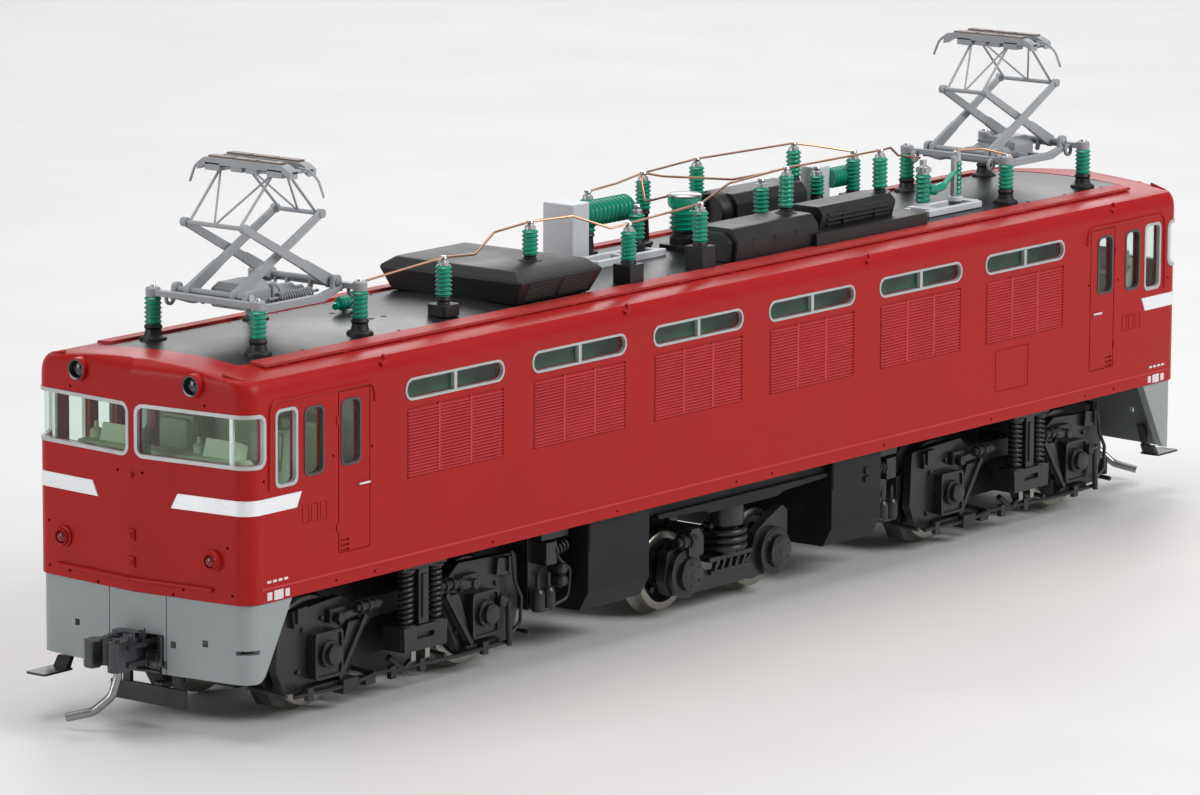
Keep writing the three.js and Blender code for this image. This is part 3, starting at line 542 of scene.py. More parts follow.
RED = paint("body_red", "red_paint", (0.40, 0.012, 0.013), 0.32, patch=14, drift=0.05, grain=0.16,
            relief=0.003, dust=0.02, dust_colour=(0.5, 0.16, 0.15), specular=0.16)
# Matt walkway paint with dust, made lighter and pinker than the body red: partly painted highlight for the
# lit tops of the roof boards and the roof end bars.
RED_MATT_WITH_PAINTED_HIGHLIGHT = paint("body_red", "red_walkway_paint", (0.43, 0.035, 0.033), 0.5, patch=8, relief=0.006,
                 dust=0.08, dust_colour=(0.62, 0.36, 0.34), specular=0.3)
# The body red made lighter and pinker: painted highlight for the louvre slats' upper edges and the sill
# ribs, which catch the light from above.
RED_PAINTED_HIGHLIGHT = paint("body_red", "red_louvre_paint", (0.56, 0.045, 0.055), 0.42, patch=5, drift=0.06,
                 grain=0.1, relief=0.003, dust=0.1, dust_colour=(0.7, 0.25, 0.28), specular=0.3)
GREY = paint("skirt_grey", "skirt_grey_paint", (0.31, 0.335, 0.34), 0.5, patch=9, drift=0.05,
             relief=0.005, dust=0.06, dust_colour=(0.4, 0.42, 0.42))
SILVER = paint("fitting_grey", "silver_trim", (0.52, 0.53, 0.52), 0.42, metallic=0.35, patch=3,
               drift=0.1, grain=0.08, dust=0.1, dust_colour=(0.3, 0.3, 0.28))
BAND = paint("fitting_grey", "silver_foil_band", (0.92, 0.93, 0.95), 0.3, metallic=0.3, patch=4,
             drift=0.05, grain=0.3, relief=0.0005)
GASKET = paint("roof_black", "dark_window_gasket", (0.07, 0.07, 0.07), 0.45, patch=3, drift=0.15,
               grain=0.1)
ROOF = paint("roof_black", "roof_black_paint", (0.011, 0.011, 0.013), 0.34, patch=16, drift=0.2,
             grain=0.14, relief=0.006, dust=0.05, dust_colour=(0.1, 0.1, 0.1), specular=0.4)
HOOD = paint("roof_black", "hood_black_plastic", (0.013, 0.013, 0.013), 0.46, patch=8, drift=0.2,
             grain=0.1, relief=0.006, dust=0.06, dust_colour=(0.1, 0.1, 0.1))
FITTING = paint("fitting_grey", "fitting_grey_plastic", (0.35, 0.37, 0.39), 0.46, patch=4, grain=0.09,
                relief=0.006, dust=0.08, dust_colour=(0.42, 0.44, 0.46))
TOWER = paint("fitting_grey", "breaker_grey_paint", (0.64, 0.66, 0.69), 0.45, patch=5, drift=0.06,
              grain=0.1, relief=0.008, dust=0.1, dust_colour=(0.6, 0.62, 0.64))
CAP = paint("fitting_grey", "bright_metal_cap", (0.55, 0.56, 0.57), 0.28, metallic=0.85, patch=2,
            drift=0.1, grain=0.06, relief=0.003)
GREEN = paint("insulator_green", "insulator_green", (0.003, 0.31, 0.19), 0.22, patch=2.5, drift=0.16,
              grain=0.08, relief=0.002, coat=0.6)
COPPER = paint("copper_wire", "copper_wire", (0.52, 0.31, 0.21), 0.36, metallic=1.0, patch=3, drift=0.12,
               grain=0.06, relief=0.003)
CAB = paint("cab_green", "cab_pale_green", (0.6, 0.8, 0.52), 0.55, drift=0.05, grain=0.1, relief=0.005)
LINER = paint("cab_green", "machine_room_green", (0.05, 0.22, 0.13), 0.5, patch=7, drift=0.12, grain=0.1,
              relief=0.005)
CIRCUIT = paint("circuit_green", "circuit_board_green", (0.02, 0.09, 0.04), 0.4, patch=2, drift=0.3,
                grain=0.2, relief=0.01, dust=0.2, dust_colour=(0.4, 0.3, 0.1))
UNDER = paint("running_gear_black", "underframe_black", (0.02, 0.02, 0.022), 0.3, patch=5, drift=0.25,
              grain=0.1, relief=0.008, dust=0.1, dust_colour=(0.07, 0.07, 0.07))
TANK = paint("running_gear_black", "tank_black_satin", (0.011, 0.012, 0.014), 0.42, patch=9, drift=0.12,
             grain=0.1, relief=0.006, dust=0.04, dust_colour=(0.04, 0.04, 0.045), specular=0.25)
ZINC = paint("chassis_zinc", "cast_zinc", (0.06, 0.06, 0.065), 0.5, metallic=0.6, drift=0.2, grain=0.2,
             relief=0.015)
STEEL = paint("motor_steel", "motor_steel", (0.5, 0.5, 0.5), 0.3, metallic=1.0, patch=5, grain=0.08,
              relief=0.003)
BRASS = paint("brass_flywheel", "turned_brass", (0.7, 0.52, 0.26), 0.28, metallic=1.0, patch=4,
              grain=0.06, relief=0.003)
NICKEL = paint("wheel_nickel", "nickel_tyre", (0.4, 0.38, 0.34), 0.32, metallic=1.0, patch=2.5,
               drift=0.14, grain=0.05, dust=0.35, dust_colour=(0.1, 0.09, 0.08))
COUPLER_METAL = paint("coupler_metal", "coupler_dark_metal", (0.07, 0.074, 0.08), 0.2, metallic=0.6,
                      patch=2, drift=0.25, grain=0.15, relief=0.012)
PIN_METAL = paint("coupler_metal", "bright_trip_pin", (0.36, 0.36, 0.36), 0.3, metallic=1.0, patch=2,
                  drift=0.1, grain=0.06, relief=0.003)
MARK = paint("fitting_grey", "pale_mark_print", (0.75, 0.7, 0.7), 0.5, patch=1, drift=0.06, grain=0.05,
             relief=0.002)
LENS_RED = paint("clear_glazing", "tail_lens_red", (0.2, 0.002, 0.004), 0.16, patch=1, drift=0.1,
                 grain=0.1, relief=0.001, coat=0.3)
LENS_DARK = paint("roof_black", "lamp_well_black", (0.012, 0.012, 0.014), 0.2, patch=1, drift=0.2,
                  grain=0.1, relief=0.001, coat=1.0)
STRIP = paint("copper_wire", "worn_contact_strip", (0.17, 0.125, 0.1), 0.45, metallic=0.5, patch=1.5,
              drift=0.3, grain=0.08, relief=0.006, dust=0.3, dust_colour=(0.34, 0.28, 0.24))
GLASS = (clear_plastic("clear_window_plastic", (0.93, 0.97, 0.95), 0.03), "clear_glazing")
LAMP_GLASS = (clear_plastic("clear_lamp_lens", (0.5, 0.52, 0.52), 0.06), "clear_glazing")


# ---- the body ---------------------------------------------------------------
def plan(inset=0.0, half=HALF, radius=CORNER_RADIUS, front=0.0):
    """The body seen from above: a shallow V at each end."""
    nose, corner, side = NOSE - inset - front, CORNER - inset - front, half - inset
    points = [(-nose, 0), (-corner, -side), (corner, -side), (nose, 0), (corner, side), (-corner, side)]
    r = max(radius - inset, 0.3)
    return rounded(points, [0, r, r, 0, r, r], 12)


SHOULDER = {"low": 41.6, "edge": 44.4, "half": 16.1}  # where the side turns into the roof
SETBACK_FROM = 43.6  # height from which the front leans back


def roof_half(z):
    """Half width of the body at a height, above the start of the shoulder."""
    if z <= SHOULDER["edge"]:
        k = (z - SHOULDER["low"]) / (SHOULDER["edge"] - SHOULDER["low"])
        return HALF - (HALF - SHOULDER["half"]) * (1 - math.sqrt(max(0.0, 1 - k ** 2.6)))
    k = (CROWN - z) / (CROWN - SHOULDER["edge"])
    return max(1.0, SHOULDER["half"] * k ** 0.46)


def outer_body():
    """The plain outside: straight walls, then sections that round over into the roof."""
    loops = [lifted(plan(), "z", FLOOR), lifted(plan(), "z", SHOULDER["low"])]
    rise = CROWN - SHOULDER["low"]
    for k in np.linspace(0, 1, 26)[1:]:
        z = SHOULDER["low"] + rise * math.sin(k * math.pi / 2)
        half = roof_half(z)
        radius = min(CORNER_RADIUS + 3.2 * k ** 2, half * 0.9)
        setback = max(0.0, (z - SETBACK_FROM) / (CROWN - SETBACK_FROM)) ** 3
        loops.append(lifted(plan(half=half, radius=radius, front=setback), "z", z))
    return loft(loops)


def through_both(outline):
    """A cutter that passes through one side wall, for each side."""
    return both_sides(prism(outline, "y", -HALF - 1, -HALF + 2.5))


def window_outline(centre, inset=0.0):
    half, low, high = WINDOW["half"] - inset, WINDOW["low"] + inset, WINDOW["high"] - inset
    return rounded(rectangle(centre - half, centre + half, low, high), (high - low) / 2 - 0.02, 8)


def cab_outline(window, inset=0.0):
    x0, x1, z0, z1 = window[:4]
    return rounded(rectangle(-x1 + inset, -x0 - inset, z0 + inset, z1 - inset), 0.95 - inset * 0.5, 5)


HOLE = 0.45  # how far a hole's edge lies inside the outer edge of its frame
SCREEN_END = s_at_side(-WINDSCREEN["wrap"])
FRONT_DOTS = [  # y and z of the dimples where grab irons would be fitted
    (2.5, 31.6), (-1.6, 31.7), (11, 41), (-11, 41), (15.1, 23.5), (-14.3, 23.7), (15, 17.8),
    (-15, 17.8), (11.3, 17.65), (6.2, 17.0), (-6.2, 17.0), (-7.7, 17.8),
]
SIDE_DOTS = [  # x and z
    (-87.5, 33.2), (-80, 33.3), (-87, 17.4), (-79.5, 17.4), (-100.7, 31.9), (-56, 17.4), (-30, 17.4),
    (-4, 17.4),
]


def front_x(y):
    """The front face of the V at a distance from the middle."""
    return -(NOSE - abs(y) * (NOSE - CORNER) / HALF)


def screen_cutters():
    lo, hi = WINDSCREEN["low"] + HOLE, WINDSCREEN["high"] - HOLE
    start, end = WINDSCREEN["inner"] + HOLE, SCREEN_END - HOLE
    return both_sides(wrapped_strip((start, start), (end, end), lo, hi, -2.1, 1.0))


def seam(x0, x1, z0, z1, width, depth):
    """A rectangular groove in the near side wall."""
    outer = rectangle(x0, x1, z0, z1)
    inner = rectangle(x0 + width, x1 - width, z0 + width, z1 - width)
    return hoop(outer, inner, "y", -HALF - 0.5, -HALF + depth)


def end_cutters():
    """Everything cut into the front end; the rear end gets the half-turned copy."""
    door = seam(-DOOR["x1"], -DOOR["x0"], DOOR["z0"], DOOR["z1"], 0.16, 0.16)
    engraved, vents, dots = [], [], []
    for x in (-93.5, -91.8, -90.1):
        engraved += seam(x, x + 1.3, 25.5, 27.8, 0.13, 0.08)
    for z in (20.9, 21.52, 22.14):
        vents += box(-86.2, -84.5, -HALF - 0.5, -HALF + 0.25, z, z + 0.3)
    dot = 0.2  # radius of a grab-iron dimple
    for y, z in FRONT_DOTS:
        dots += rod("x", (front_x(y), y, z), dot, -0.6, 0.5, 10)
    for x, z in SIDE_DOTS:
        dots += both_sides(rod("y", (x, -HALF, z), dot, -0.5, 0.5, 10))
    wells = []
    for place, radius in ((HEADLIGHT, 1.3), (TAIL_LAMP, 0.85)):
        wells += rod("x", (-104.3, -place["y"], place["z"]), radius, -1, 2, 28)
    return both_sides(door + engraved + vents + wells) + dots


def body():
    """The hollow body with its roof recess, window holes, seams and lamp wells."""
    shell = raw("body_shell_painted", outer_body())
    ceiling, recess_floor = 43.3, 44.5
    carve(shell, prism(plan(WALL), "z", FLOOR - 1, ceiling))
    recess = ROOF_PANEL.y + 0.1
    end = ROOF_PANEL.x + 0.1
    carve(shell, box(-end, end, -recess, recess, recess_floor, 47))
    holes = []
    for centre in WINDOW_CENTRES:
        holes += through_both(window_outline(centre, 0.3))
        outline = rectangle(centre + LOUVRE["from"] - 0.1, centre + LOUVRE["to"] + 0.1,
                            LOUVRE["low"] - 0.1, LOUVRE["high"] + 0.1)
        holes += both_sides(prism(outline, "y", -HALF - 1, -HALF + 0.22))
    hatch = seam(56.7, 64.9, 21.0, 27.0, 0.14, 0.1)
    carve(shell, holes + hatch)
    for _, turn in ENDS:
        cab = [piece for w in CAB_WINDOWS for piece in through_both(cab_outline(w, w[4] / 2))]
        carve(shell, turn(cab))
        carve(shell, turn(screen_cutters()))
        carve(shell, turn(end_cutters()))
    finish(shell, RED[0], "locomotive", RED[1], 0.05, ["body_shell"], sharp=9)


def body_trim():
    """Ribs, ledges, lugs and hooks that are moulded on the body."""
    ribs = prism([(-HALF + 0.3, SILL - 0.2), (-HALF - 0.2, SILL - 0.12), (-HALF - 0.2, SILL - 0.02),
                  (-HALF + 0.3, SILL + 0.28)], "x", -CORNER + 2.3, CORNER - 2.3)
    # the sill ribs take the lighter red, a painted highlight along their lit top
    make("sill_ribs", both_sides(ribs), RED_PAINTED_HIGHLIGHT, bevel=0.04)
    y = -HALF - 0.02
    gutter = bent([(-99.7, y, 30.6), (-99.5, y, 41.5), (-79.6, y, 41.5), (-79.5, y, 39.0)], [1.3, 1.6], 8)
    gutter = tube(gutter, 0.24, 8)
    ledge = []
    for y in (13.6, -12.2):
        ledge += tube([(front_x(0) - 0.25, 0, 18.25), (front_x(y) - 0.25, y, 18.25)], 0.3, 8)
    for z, size in ((23.8, 0.75), (20.4, 0.7)):
        ledge += box(-NOSE - 0.28, -NOSE + 0.5, -0.5, 0.5, z - size, z + size)
        ledge += rod("z", (-NOSE - 0.22, 0, z), 0.32, -0.3, 0.3, 12)
    ledge += rod("z", (-NOSE - 0.1, 0, 31.3), 0.3, -0.35, 0.3, 12)
    bars = tube([(-102.9, -12.9, 44.95), (-102.3, -15.6, 44.35)], 0.2, 8)
    handle = tube([(-82.9, -HALF - 0.35, 29), (-80.9, -HALF - 0.35, 29)], 0.14, 8)
    hinges = []
    for z in (24.0, 37.5):
        hinges += box(-86.95, -86.6, -HALF - 0.12, -HALF + 0.1, z - 0.5, z + 0.5)
    make_ends("cab_door_handles", both_sides(handle), BAND, bevel=0)
    make_ends("cab_gutters", both_sides(gutter + hinges), RED, bevel=0)
    make_ends("front_ledge", ledge, RED, bevel=0.1)
    # the roof end bars take the lighter walkway red, a painted highlight on them
    make_ends("roof_end_bars", both_sides(bars), RED_MATT_WITH_PAINTED_HIGHLIGHT, bevel=0)
    hooks = []
    for x in (-77.1, -27.4, 26.6, 87.0):
        path = [(x, -16.75, 44.35), (x + 0.1, -17.2, 43.75), (x - 1.2, -17.45, 43.35)]
        hooks += tube(bent(path, [0.3], 4), 0.28, 8)
    make("lifting_hooks", hooks + half_turn(hooks), RED, bevel=0)
    boards = []
    outline = [(-11.3, 45.05), (-11.3, 45.5), (-13.8, 45.3), (-13.8, 44.9)]
    for x0, x1 in ((-96, -0.1), (0.1, 96)):
        boards += prism(outline, "x", x0, x1)
    for x in np.arange(-92, 93, 11.5):
        boards += box(x - 0.4, x + 0.4, -13.7, -11.4, 44.55, 45.1)
    # the boards take the lighter walkway red, partly a painted highlight on their lit tops
    make("roof_boards", both_sides(boards), RED_MATT_WITH_PAINTED_HIGHLIGHT, bevel=0.05)


def louvres():
    """Three columns of sloping slats under each side window."""
    low, high, count = LOUVRE["low"], LOUVRE["high"], LOUVRE["slats"]
    pitch = (high - low) / count
    width = (LOUVRE["to"] - LOUVRE["from"]) / LOUVRE["columns"]
    slats = []
    for centre in WINDOW_CENTRES:
        for column in range(LOUVRE["columns"]):
            x0 = centre + LOUVRE["from"] + column * width + 0.12
            x1 = x0 + width - 0.24
            for k in range(count):
                z = low + k * pitch
                slope = [(-HALF + 0.3, z), (-HALF - 0.1, z + pitch * 0.05), (-HALF - 0.1, z + pitch * 0.28),
                         (-HALF + 0.3, z + pitch * 0.8)]
                slats += prism(slope, "x", x0, x1)
            if column:
                slats += box(x0 - 0.3, x0 + 0.06, -HALF - 0.02, -HALF + 0.3, low, high)
    # the slats and column ribs take the lighter red, a painted highlight on their upper edges
    make("side_louvres_near", slats, RED_PAINTED_HIGHLIGHT, bevel=0)
    make("side_louvres_far", half_turn(slats), RED_PAINTED_HIGHLIGHT, bevel=0)


# ---- glazing and lamps ------------------------------------------------------
def side_windows():
    """Six stadium windows a side, each with a silver frame and a centre bar."""
    frames, panes = [], []
    low, high = WINDOW["low"], WINDOW["high"]
    for centre in WINDOW_CENTRES:
        frames += hoop(window_outline(centre), window_outline(centre, WINDOW["trim"]), "y",
                       -HALF - 0.14, -HALF + 0.5)
        frames += box(centre - 0.3, centre + 0.3, -HALF - 0.14, -HALF + 0.5, low + 0.3, high - 0.3)
        panes += prism(window_outline(centre, 0.2), "y", -HALF + 0.3, -HALF + 0.55)
    make("side_window_frames", both_sides(frames), SILVER, bevel=0.05)
    make("side_window_glass_near", panes, GLASS, bevel=0, replaces=["side_glazing_near"])
    make("side_window_glass_far", flipped(panes, "y"), GLASS, bevel=0, replaces=["side_glazing_far"])


def cab_windows():
    """Cab side windows, the windscreens that wrap round the corners, and the bands below them."""
    silver, gasket, panes = [], [], []
    for window in CAB_WINDOWS:
        ring = hoop(cab_outline(window), cab_outline(window, window[4]), "y", -HALF - 0.12, -HALF + 0.5)
        if window[5]:
            silver += ring
        else:
            gasket += ring
        panes += prism(cab_outline(window, 0.2), "y", -HALF + 0.3, -HALF + 0.5)
    screen = WINDSCREEN
    outer = rounded(rectangle(screen["inner"], SCREEN_END, screen["low"], screen["high"]), 1.3, 6)
    t = screen["trim"]
    inner = rectangle(screen["inner"] + t, SCREEN_END - t, screen["low"] + t, screen["high"] - t)
    inner = rounded(inner, 0.8, 6)
    silver += wrapped_hoop(outer, inner, -0.5, 0.13)
    a, b = screen["inner"] + 0.3, SCREEN_END - 0.3
    low, high = screen["low"] + 0.3, screen["high"] - 0.3
    panes += wrapped_strip((a, a), (b, b), low, high, -0.4, -0.28)
    pillar, pillar_width = 14.4, 0.55
    a, b = pillar, pillar + pillar_width
    post = wrapped_strip((a, a), (b, b), low, high, -0.9, -0.45, 3)
    make_ends("cab_window_frames", both_sides(silver), SILVER, bevel=0.05)
    make_ends("cab_window_gaskets", both_sides(gasket), GASKET, bevel=0.04)
    make_ends("windscreen_pillars", both_sides(post), BAND, bevel=0.04)
    make_ends("cab_glass", both_sides(panes), GLASS, bevel=0, replaces=["cab_glazing"])
    rear_end = (s_at_side(-94.6), s_at_side(-93.7))
    band = wrapped_strip((6.0, 7.0), rear_end, 27.8, 29.7, -0.2, 0.13)
    make_ends("silver_bands", both_sides(band), BAND, bevel=0.02)


def lamps():
    """Headlights in the roof corners and tail lamps low on the front; profiles run back from the face."""
    head, tail = [(front_x(place["y"]), -place["y"], place["z"]) for place in (HEADLIGHT, TAIL_LAMP)]
    rim = [(1.32, -0.7), (1.45, -0.62), (1.5, 1.2), (1.25, 1.2), (1.25, -0.6)]
    base = [(0.8, 0.6), (0.85, -0.8), (1.0, -0.85), (1.1, -0.5), (1.35, -0.4), (1.4, 0.6)]
    rims = lathe(rim, "x", head, 32, ring=True) + lathe(base, "x", tail, 32, ring=True)
    well = [(0, 0.5), (0.8, 0.2), (1.1, -0.62), (1.3, -0.66), (1.3, 1.3), (0, 1.3)]
    lens = [(0, -0.5), (0.5, -0.42), (0.85, -0.22), (0.92, 0.05), (0, 0.05)]
    jewel = [(0, -1.0), (0.4, -0.95), (0.72, -0.72), (0.82, -0.5), (0.82, 0.7), (0, 0.7)]
    guide = box(-102.9, -102.1, -9.9, 9.9, 42, 42.9) + box(-102.9, -102.1, -0.5, 0.5, 21.3, 42.5)
    lenses = both_sides(lathe(lens, "x", head, 32)) + guide
    make_ends("lamp_rims", both_sides(rims), RED, bevel=0)
    make_ends("headlight_wells", both_sides(lathe(well, "x", head, 32)), LENS_DARK, bevel=0)
    make_ends("headlight_lenses", lenses, LAMP_GLASS, bevel=0, replaces=["light_guide"])
    make_ends("tail_lamp_lenses", both_sides(lathe(jewel, "x", tail)), LENS_RED, bevel=0)


def marks():
    """Plain pale blocks where a builder's data would be printed."""
    cells = [(-100.1, -99.2, 16.95, 17.95), (-98.8, -97.1, 16.85, 18.05), (-96.7, -95.9, 17.0, 17.95)]
    prints = []
    for x0, x1, z0, z1 in cells:
        prints += box(x0, x1, -HALF - 0.03, -HALF + 0.05, z0, z1)
    for k in range(4):
        x = -100.1 + k * 1.05
        prints += box(x, x + 0.72, -HALF - 0.03, -HALF + 0.05, 19.1, 19.4)
    make_ends("plain_print_blocks", both_sides(prints), MARK, bevel=0)


# ---- skirt and coupler ------------------------------------------------------
def skirts():
    """The grey skirt under each cab, with its coupler opening and sockets, the step and the rail guard."""
    low, high = 6.7, FLOOR - 0.1
    profile = rounded([(-110, low), (-100.6, low), (-95.1, high), (-110, high)], [0, 2.2, 0, 0], 8)
    inner = [(-103.8, 0), (-102.2, -16.1), (-90, -16.1), (-90, 16.1), (-102.2, 16.1)]
    inner = rounded(inner, [0, 1.4, 0, 0, 1.4], 6)
    holes = []
    socket = 0.42
    for y, z in ((10.3, 11.2), (-5.9, 10.6), (-10.7, 11.3)):
        holes += box(-108, -101.5, y - socket, y + socket, z - socket, z + socket)
    holes += box(-103.9, -101.2, -17.8, -15.2, 10.4, 10.95)
    for y in (4.4, -4.9):
        holes += box(front_x(y) - 0.5, front_x(y) + 0.4, y - 0.07, y + 0.07, low - 1, high + 1)
    for end, turn in ENDS:
        shell = raw(f"skirt_painted_{end}", turn(prism(plan(0.25, radius=2.6), "z", low - 2, high + 2)))
        carve(shell, turn(prism(profile, "y", -20, 20)), "INTERSECT")
        carve(shell, turn(prism(inner, "z", low - 3, high + 3)))
        carve(shell, turn(box(-108, -101, -4.2, 3.2, low - 1, 11.6)))
        carve(shell, turn(holes))
        finish(shell, GREY[0], "locomotive", GREY[1], 0.06, [f"skirt_{end}"], sharp=20)
    step = slab(-108.6, -103.2, 11.6, 14.9, 0.4, "z", 4.8, 5.1)
    step += prism([(-104.0, 4.8), (-103.4, 4.8), (-101.2, 9.5), (-102.0, 9.5)], "y", 12.2, 13.4)
    step += prism([(-104.4, 4.9), (-103.4, 4.9), (-102.6, 6.4), (-103.4, 6.4)], "y", 12.0, 14.2)
    plough = slab(-4.7, 7.5, 1.6, 4.0, 0.2, "x", -101.0, -100.3, 3)
    plough += box(-100.6, -99.9, -3.6, -2.4, 3.4, 7.2) + box(-100.6, -99.9, 4.6, 5.8, 3.4, 7.2)
    plough += box(-100.6, -96, -0.7, 0.7, 3.6, 4.4)
    make_ends("steps_and_plough", step + plough, UNDER)


def couplers():
    """Draft box, head with its shank and trip pin, and the knuckle, drawn at the coupler's height."""
    z = 9.6
    draft_box = box(-104.4, -97.5, -3.7, 2.9, 6.9, 9.5) + box(-104.7, -104.1, -3.5, -2.6, 7.3, 9.2)
    draft_box += box(-104.7, -104.1, -1.9, -0.6, 7.3, 9.2) + box(-104.8, -104.2, -3.9, 2.9, 6.7, 7.1)
    draft_box += box(-105.0, -103.2, -4.5, -3.8, 7.6, 11.6) + box(-104.6, -103.2, -4.9, -4.4, 7.4, 8.4)
    make_ends("draft_box", draft_box, COUPLER_METAL, bevel=0.15)
    shank = box(-107.2, -94.2, -1.1, 1.1, z - 0.95, z + 0.95)
    shank += rod("z", (-95.5, 0, z), 2.0, -0.95, 0.95, 24)
    outline = [(-105.8, -2.3), (-105.8, 2.1), (-107.7, 2.1), (-107.9, -0.5), (-109.4, -1.2), (-111.3, -1.2),
               (-111.7, -1.9), (-111.4, -2.9), (-108, -3.1)]
    head = prism(rounded(outline, [0.5, 0.5] + [0.3] * 6 + [0.5]), "z", z - 1.9, z + 1.9)
    for rib in (z - 1.1, z + 1.1):
        head += box(-109.6, -106.2, -3.35, -2.9, rib - 0.3, rib + 0.3)
    head += rod("z", (-106.8, 0.9, z), 0.8, -2.2, 2.2)
    spring = coil(-106.4, -2.6, z + 1.2, z + 3.0, 0.4, 0.1, 5)
    for x, y in ((-110.6, -2.1), (-108.4, -2.3), (-106.6, -1.2)):
        head += lathe([(0, 1.7), (0.5, 1.7), (0.42, 2.3), (0, 2.35)], "z", (x, y, z), 16)
    head += box(-107.0, -105.6, -2.0, 1.8, z + 1.7, z + 2.4)
    head += box(-106.3, -105.2, 1.6, 2.6, z - 1.4, z + 0.6)
    pin_path = [(-106.9, 0.9, z - 0.5), (-107.0, 0.9, 6.0), (-107.6, 1.4, 3.6), (-108.8, 3.4, 1.6),
                (-110.4, 6.4, 0.75)]
    pin = tube(bent(pin_path, [2.0] * 3, 8), 0.56, 14)
    make_ends("coupler_head", shank + head + spring, COUPLER_METAL, "coupler", 0.15, ["coupler"])
    make_ends("trip_pin", pin, PIN_METAL, "coupler", 0)
    jaw = [(-107.95, 0.1), (-107.95, 2.0), (-109.6, 3.0), (-111.0, 3.0), (-111.8, 2.0), (-111.8, 0.9),
           (-110.6, 0.5), (-109.8, 1.2), (-109, 0.1)]
    knuckle = prism(rounded(jaw, [0.3, 0.4, 0.5, 0.5, 0.4, 0.3, 0.2, 0.3, 0.3]), "z", z - 1.7, z + 1.7)
    rivet = lathe([(0, 1.6), (0.55, 1.6), (0.55, 1.9), (0.4, 2.0), (0, 2.0)], "z", (-108.8, 1.0, z), 16)
    make_ends("coupler_jaw", knuckle + rivet, COUPLER_METAL, "knuckle", 0.12, ["knuckle"])


# ---- roof equipment ---------------------------------------------------------
DECK = 45.4  # height where equipment stands: just inside the arched deck


def roof_deck():
    """The black arched panel let into the roof, and its rivets."""
    half, end = ROOF_PANEL.y, ROOF_PANEL.x
    arc = [(y, CROWN - 0.06 - 0.5 * (y / half) ** 2) for y in np.linspace(half, -half, 17)]
    section = [(-half, 44.6), (half, 44.6)] + arc
    make("roof_deck", prism(section, "x", -end, end), ROOF, replaces=["roof_panel"])
    rivets = []
    dome = [(0.26, 0), (0.2, 0.12), (0, 0.17)]
    for x in np.arange(-94, 95, 9.4):
        rivets += lathe(dome, "z", (x, -half + 0.9, 45.15), 8)
    for x in np.arange(-97, 98, 4.85):
        rivets += lathe([(0.16, 0), (0, 0.12)], "z", (x, -half + 0.3, 45.15), 6)
    for x in (-63, -60.5, 49, 51.5, 70):
        rivets += lathe([(0.45, 0), (0.38, 0.16), (0, 0.2)], "z", (x, -3.2, 45.5), 12)
    make("roof_rivets", both_sides(rivets), HOOD, bevel=0)


def shed_profile(low, high, radius, count):
    """A stack of rounded sheds between two heights."""
    pitch = (high - low) / count
    core = radius * 0.8
    profile = [(core, low)]
    for k in range(count):
        z = low + k * pitch
        profile += [(core, z + pitch * 0.12), (radius * 0.95, z + pitch * 0.3), (radius, z + pitch * 0.45),
                    (radius * 0.9, z + pitch * 0.6), (core, z + pitch * 0.85)]
    return profile + [(core, high)]


def insulator(axis, centre, low, high, radius, count, segments=24):
    profile = [(0, low)] + shed_profile(low, high, radius, count) + [(0, high)]
    return lathe(profile, axis, centre, segments)


POSTS = [  # x, y, bottom and top of the green part, what it stands on, and the height of that
    (-54.3, -8, 47.95, 51.9, "flange", DECK),
    (-34, -6, 50.6, 53.9, "disc", 49.8),
    (-18.3, -10.1, 48.4, 52.2, "block", 45.2),
    (-2.6, -10.1, 48.9, 53.0, "block", 45.2),
    (20.3, -7.5, 50.7, 55.0, "disc", 49.8),
    (43, -7, 50.7, 54.9, "disc", 50.1),
    (22.3, -1.8, 48.5, 52.6, "post", 45.5),
    (1.4, 3.6, 47.4, 50.9, "block", 45.5),
    (-3.0, 8.6, 48.4, 52.9, "post", DECK),
    (8.5, 8, 50.2, 54.2, "post", DECK),
    (20.6, 8, 51.0, 54.8, "post", DECK),
    (43.2, 8, 50.8, 54.5, "post", DECK),
    (43.3, 4, 48.6, 51.4, "post", 45.5),
    (52, 4, 48.3, 52.7, "block", 45.5),
]


def insulators():
    """Post insulators; caps and feet are measured from the ends of the green part."""
    green, caps, feet = [], [], []
    cap = [(0, 0), (0.72, 0), (0.7, 0.45), (0.42, 0.6), (0.42, 0.75), (0.52, 0.95), (0.4, 1.2), (0, 1.28)]
    stem = [(0, 0), (0.85, 0), (0.9, -0.3), (1.0, -0.5), (0.75, -0.7)]
    shed = 0.58
    for x, y, low, high, kind, ground in POSTS:
        green += insulator("z", (x, y, 0), low, high, 1.12, max(4, round((high - low) / shed)))
        caps += lathe(cap, "z", (x, y, high), 20)
        base = ground - low
        if kind == "block":
            side = 1.5
            feet += slab(x - side, x + side, y - side, y + side, 0.2, "z", ground, low - 0.5, 3)
            foot = [(0, -0.6), (1.1, -0.6), (0.95, 0), (0, 0)]
        elif kind == "flange":
            side = 1.55
            foot = stem + [(0.8, -0.9), (1.0, -1.1), (0, -1.1)]
        elif kind == "disc":
            foot = [(0, 0), (0.9, 0), (0.75, -0.3), (1.0, -0.55), (1.5, base + 0.12), (1.55, base - 0.1),
                    (0, base - 0.1)]
        else:
            foot = stem + [(0.9, base + 0.6), (1.4, base + 0.4), (1.4, base), (0, base)]
        feet += lathe(foot, "z", (x, y, low), 20)
        if kind == "flange":
            feet += slab(x - side, x + side, y - side, y + side, 0.4, "z", ground, low - 1.0, 3)
    make("post_insulators", green, GREEN, bevel=0)
    make("post_caps", caps, CAP, bevel=0)
    make("post_feet", feet, HOOD)


def post_top(index):
    x, y, _, high, _, _ = POSTS[index]
    return (x, y, high + 1.0)


def copper_line(route, name, nodes=()):
    path = bent(route, [0.5] * (len(route) - 2), 3)
    make(name, tube(path, 0.16, 8), COPPER, bevel=0, replaces=nodes)


